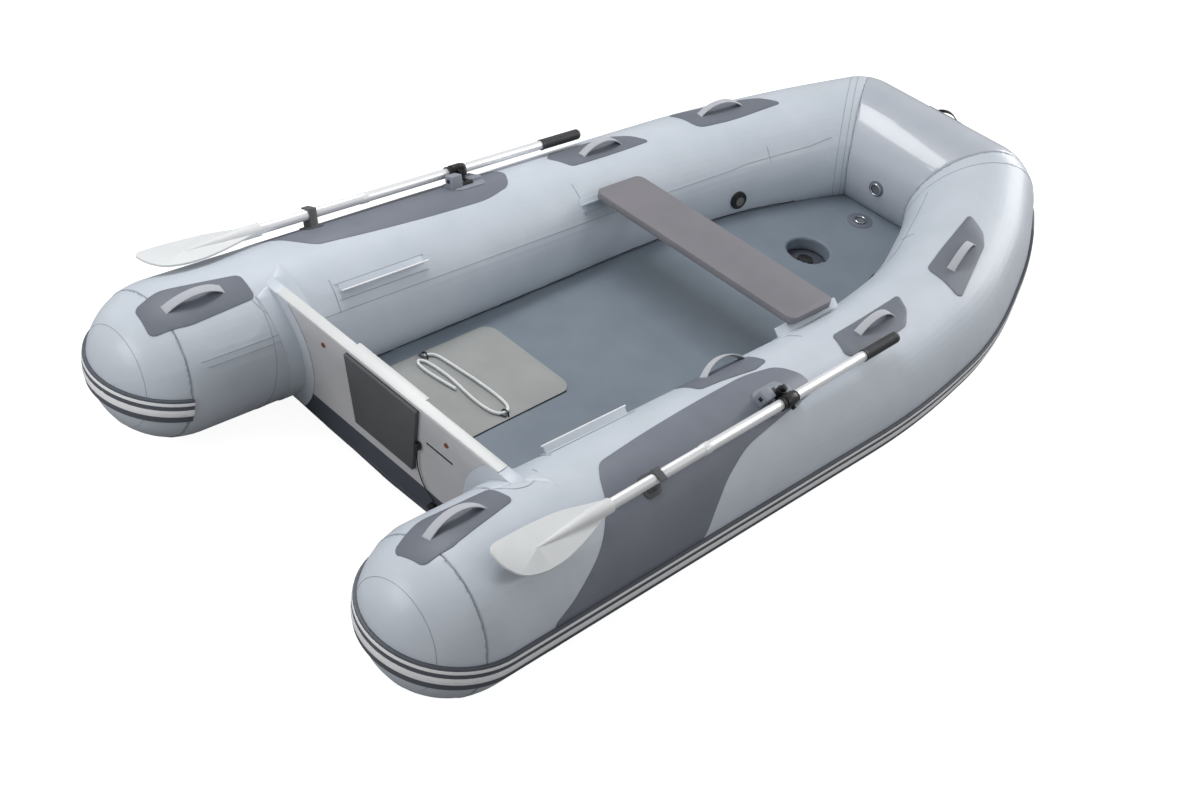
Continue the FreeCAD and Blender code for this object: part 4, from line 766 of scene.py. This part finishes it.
for side, side_name in SIDES:
    body, place = f"oar_{side_name}", oar_place(side)
    for end, profile in (("aft", SLEEVE_AFT), ("fore", SLEEVE_FORE)):
        turned(f"rowlock_sleeve_{end}_{side_name}", place, profile, BLACK_NYLON, body)
    turned(f"grip_ribs_{side_name}", place, grip_profile(), GRIP_VINYL, body)
    ahead, out, up = KNOB_PLACE_MM
    knob = place @ Matrix.Translation(Vector((ahead, side * out, up)) * MM)
    box_piece(f"rowlock_knob_{side_name}", knob, -KNOB_HALF_MM, KNOB_HALF_MM, KNOB_ROUND_MM,
              BLACK_NYLON, body)
    for part, spans, edge, material in ROWLOCK_BLOCKS:
        side_block(f"rowlock_{part}_{side_name}", place, -side, spans, edge, material, segments=3)
print("oar and rowlock details made")

# %% [markdown]
# The air valves sit on the tubes' inner faces, ahead of the seat, and look straight inboard.

# %% Valve caps
VALVE_AHEAD_M = 0.789
VALVE_DEG = 178
VALVE_CAP_PROFILE = ((8.6, 17), (10.2, 16), (10.4, 5), (9.6, 4), (9.6, 0))
VALVE_RIM_PROFILE = ((4.5, 31), (6.4, 30), (6.6, 24), (4.8, 22))

for side, side_name in SIDES:
    point, away = skin_at(side, VALVE_AHEAD_M, VALVE_DEG)
    x_axis = away.normalized()
    y_axis = x_axis.orthogonal().normalized()
    place = Matrix((x_axis, y_axis, x_axis.cross(y_axis))).transposed().to_4x4()
    place.translation = point
    turned(f"valve_cap_{side_name}", place, VALVE_CAP_PROFILE, VALVE_CAP)
    turned(f"valve_rim_{side_name}", place, VALVE_RIM_PROFILE, BLACK_NYLON)
print("valve caps made")

# %% [markdown]
# The transom leans aft. Its white cap is a channel whose lips grip the board, and a block in the
# tubes' colour closes each collar beyond the cap's end. A flat dark strip lies on the board's aft
# face, the rope's ends are held by rubber keepers, and a dark line of painted shadow runs along
# the mat's edge. A white bead along the top edge of the spare rail on each tube is a painted
# highlight, and the two lines where the rail's foot is glued are cement with painted shade.

# %% Transom cap, dark strip, keepers and rail highlights
RAKE_PIVOT_M = (-1.073, 0, 0.280)
RAKE_DEG = 12
LEAN = Matrix.Translation(RAKE_PIVOT_M) @ Matrix.Rotation(math.radians(-RAKE_DEG), 4, "Y")
TRANSOM_BLOCKS = (
    ("cap_lip_aft", (-2.2, -430, 127), (0.2, 430, 139), 0.8, CAP_PVC),
    ("cap_lip_fore_middle", (37.8, -134, 127), (40.0, 134, 138), 0.8, CAP_PVC),
    ("transom_dark_strip", (-0.5, -264, 24), (0.5, -164, 31), 0.4, EDGE_DARK),
)
TRANSOM_SIDE_BLOCKS = (
    ("cap_lip_fore", ((27.8, 30.0), (137, 430), (127, 138)), 0.8, CAP_PVC),
    ("collar_cover", ((-3, 31), (431, 505), (60, 136.5)), 1.5, TUBE_RUBBER),
)
KEEPERS = (("port", (-0.669, 0.286, 0.1365), 5), ("starboard", (-0.656, -0.041, 0.1365), 24))
KEEPER_LOW_MM, KEEPER_HIGH_MM, KEEPER_ROUND_MM = (-13, -10, 0), (13, 10, 5), 1.5

for name, low, high, edge, material in TRANSOM_BLOCKS:
    box_piece(name, LEAN, low, high, edge, material)
for side, side_name in SIDES:
    for name, spans, edge, material in TRANSOM_SIDE_BLOCKS:
        side_block(f"{name}_{side_name}", LEAN, side, spans, edge, material)
for name, middle, turn in KEEPERS:
    place = Matrix.Translation(middle) @ Matrix.Rotation(math.radians(turn), 4, "Z")
    box_piece(f"rope_keeper_{name}", place, KEEPER_LOW_MM, KEEPER_HIGH_MM, KEEPER_ROUND_MM,
              STRAKE_RUBBER)

RAIL_HIGHLIGHT_M, RAIL_HIGHLIGHT_DEG, RAIL_HIGHLIGHT_LIFT_MM, RAIL_HIGHLIGHT_MM = (-0.910, -0.600), 135, 21, 2.6
FOOT_M, FOOT_EDGES_DEG, FOOT_LIFT_MM = (-0.915, -0.595), (129, 141), 1.6
MAT_EDGE_M, MAT_EDGE_SIDE_M, MAT_EDGE_UP_M, MAT_EDGE_MM = (-0.93, -0.43), -0.0626, 0.002, 2.0

# The white beads along the spare rails' top edges are painted highlights.
rail_highlights = [along(side, *RAIL_HIGHLIGHT_M, RAIL_HIGHLIGHT_DEG, 24, RAIL_HIGHLIGHT_LIFT_MM) for side, side_name in SIDES]
feet = [along(side, *FOOT_M, angle, 24, FOOT_LIFT_MM)
        for side, side_name in SIDES for angle in FOOT_EDGES_DEG]
lines("spare_rail_painted_highlights", rail_highlights, RAIL_HIGHLIGHT_MM, STRIPE_WHITE_AND_RAIL_HIGHLIGHT)
# Like the seams, the rail's foot lines are cement with painted shade.
lines("spare_rail_edges", feet, SEAM_LINE_MM, SEAM_CEMENT_AND_SHADE)
# A painted shadow line along the mat's edge, where the mat's thickness shades the floor.
mat_shadow_path = [(ahead, MAT_EDGE_SIDE_M, floor_top(ahead) + MAT_EDGE_UP_M)
            for ahead in run(*MAT_EDGE_M, 40)]
lines("mat_edge_shadow_line", [mat_shadow_path], MAT_EDGE_MM, EDGE_DARK)
print("transom and rail details made")

# %% [markdown]
# The two loose cords follow the routes of their solids, as NURBS curves with the same points: the
# thin black lanyard from its hook to the drain plug, and the white strap that lies on the mat.

# %% Cords
LANYARD_POINTS = (
    (-1.077, -0.1355, 0.266), (-1.0713, -0.131, 0.238), (-1.0635, -0.1305, 0.206),
    (-1.0556, -0.136, 0.174), (-1.0494, -0.1495, 0.145), (-1.0467, -0.170, 0.1275),
    (-1.047, -0.186, 0.122), (-1.0455, -0.1915, 0.114), (-1.0423, -0.1905, 0.0995),
)
STRAP_POINTS = (
    (-0.676, 0.279, 0.141), (-0.658, 0.279, 0.141), (-0.642, 0.262, 0.1415),
    (-0.636, 0.225, 0.142), (-0.631, 0.175, 0.142), (-0.625, 0.122, 0.142),
    (-0.622, 0.070, 0.1422), (-0.621, 0.022, 0.1422), (-0.625, -0.018, 0.142),
    (-0.638, -0.039, 0.1415), (-0.660, -0.042, 0.141), (-0.678, -0.030, 0.1405),
    (-0.687, 0.003, 0.140), (-0.689, 0.050, 0.140), (-0.684, 0.098, 0.140),
    (-0.679, 0.147, 0.1405), (-0.679, 0.196, 0.1405), (-0.683, 0.236, 0.140),
    (-0.690, 0.262, 0.140), (-0.702, 0.273, 0.1395), (-0.713, 0.262, 0.139),
    (-0.716, 0.235, 0.139), (-0.712, 0.192, 0.139), (-0.706, 0.152, 0.1395),
    (-0.699, 0.114, 0.1395),
)
LANYARD_LENGTH_M, LANYARD_THICK_M = 0.190, 0.0032
STRAP_LENGTH_M, STRAP_THICK_M = 0.858, 0.009
CORD_ORDER = 3
CORD_STEPS = 12
CORD_ROUNDNESS = 3


def cord_curve(name, points, thick, material):
    """Round cord on one smooth NURBS line."""
    bpy.ops.object.select_all(action="DESELECT")
    bpy.ops.curve.primitive_nurbs_path_add(location=(0, 0, 0))
    item = bpy.context.object
    item.name = name
    item.data.splines.clear()
    spline = item.data.splines.new("NURBS")
    spline.points.add(len(points) - 1)
    for point, place in zip(spline.points, points):
        point.co = (*place, 1)
    spline.order_u = CORD_ORDER
    spline.use_endpoint_u = True
    item.data.resolution_u = CORD_STEPS
    item.data.bevel_depth = thick / 2
    item.data.bevel_resolution = CORD_ROUNDNESS
    item.data.use_fill_caps = True
    item.data.materials.append(material)
    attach(item, "hull")
    return item


lanyard = cord_curve("lanyard_cord", LANYARD_POINTS, LANYARD_THICK_M, BLACK_BRAID)
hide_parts("drain_lanyard")
strap = cord_curve("tie_down_rope", STRAP_POINTS, STRAP_THICK_M, WHITE_BRAID)
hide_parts("tie_down_strap")

# %% [markdown]
# A pale studio floor with soft light from above. The photograph's floor throws little light back,
# so that the undersides of the tubes are dark: the paper is grey for the light that it reflects,
# and the camera sees it white through Light Path. The sky is one plain level. A soft lamp hangs
# overhead, a weaker strip stands to starboard, and one lamp ahead of the bow and one behind the
# stern light the ends. A short strip draws the streak on the bow tube's coat. A lamp's row has
# its name, place, target, size in metres and power in watts.

# %% Floor, world and lamps
PAPER_SIZE_M = 28.0
PAPER_HEIGHT_M = -0.001
PAPER_GREY = "8a8a8a"
PAPER_ROUGHNESS = 0.9
PAPER_GLOW = 0.93
SKY_LEVEL = 0.47

bpy.ops.mesh.primitive_plane_add(size=PAPER_SIZE_M, location=(0, 0, PAPER_HEIGHT_M))
studio_floor = bpy.context.object
studio_floor.name = "studio_floor"
paper = bpy.data.materials.new("studio_paper")
paper.use_nodes = True
tree = paper.node_tree
matte = tree.nodes["Principled BSDF"]
matte.inputs["Base Color"].default_value = linear(PAPER_GREY)
matte.inputs["Roughness"].default_value = PAPER_ROUGHNESS
rays = add_node(tree, "ShaderNodeLightPath")
glow_level = add_node(tree, "ShaderNodeMath", [(1, PAPER_GLOW)],
                      [(0, rays.outputs["Is Camera Ray"])], operation="MULTIPLY")
glow = add_node(tree, "ShaderNodeEmission", [("Color", (1, 1, 1, 1))],
                [("Strength", glow_level.outputs[0])])
both = add_node(tree, "ShaderNodeAddShader",
                links=[(0, matte.outputs["BSDF"]), (1, glow.outputs[0])])
tree.links.new(both.outputs[0], tree.nodes["Material Output"].inputs["Surface"])
studio_floor.data.materials.append(paper)

world = bpy.data.worlds.new("studio_sky")
bpy.context.scene.world = world
world.use_nodes = True
tree = world.node_tree
sky = tree.nodes["Background"]
sky.inputs["Color"].default_value = (1, 1, 1, 1)
rays = add_node(tree, "ShaderNodeLightPath")
seen = add_node(tree, "ShaderNodeMath", links=[(0, rays.outputs["Is Camera Ray"]),
                                               (1, rays.outputs["Is Transmission Ray"])],
                operation="MAXIMUM")
level = add_node(tree, "ShaderNodeMapRange", [("To Min", SKY_LEVEL), ("To Max", 1.0)],
                 [("Value", seen.outputs[0])])
tree.links.new(level.outputs["Result"], sky.inputs["Strength"])

LAMPS = (
    ("top_softbox", (-0.45, 1.8, 4.0), (0.0, 0.0, 0.2), (3.0, 0.9), 92),
    ("starboard_strip", (1.5, -3.4, 2.6), (-0.2, -0.3, 0.3), (0.5, 0.9), 12),
    ("bow_softbox", (5.2, -0.7, 2.2), (0.8, -0.4, 0.4), (2.8, 2.0), 110),
    ("streak_strip", (-1.65, 1.2, 2.9), (1.15, -0.02, 0.5), (0.42, 0.07), 3.5),
    ("aft_softbox", (-4.5, 1.1, 1.6), (-1.2, 0.3, 0.3), (2.0, 1.4), 46),
)
for name, place, target, (wide, tall), power in LAMPS:
    bpy.ops.object.light_add(type="AREA", location=place)
    lamp = bpy.context.object
    lamp.name = name
    lamp.data.shape = "RECTANGLE"
    lamp.data.size = wide
    lamp.data.size_y = tall
    lamp.data.energy = power
    lamp.rotation_euler = (Vector(target) - Vector(place)).to_track_quat("-Z", "Y").to_euler()
print("lamps", [row[0] for row in LAMPS])

bpy.context.scene.view_settings.view_transform = "Standard"
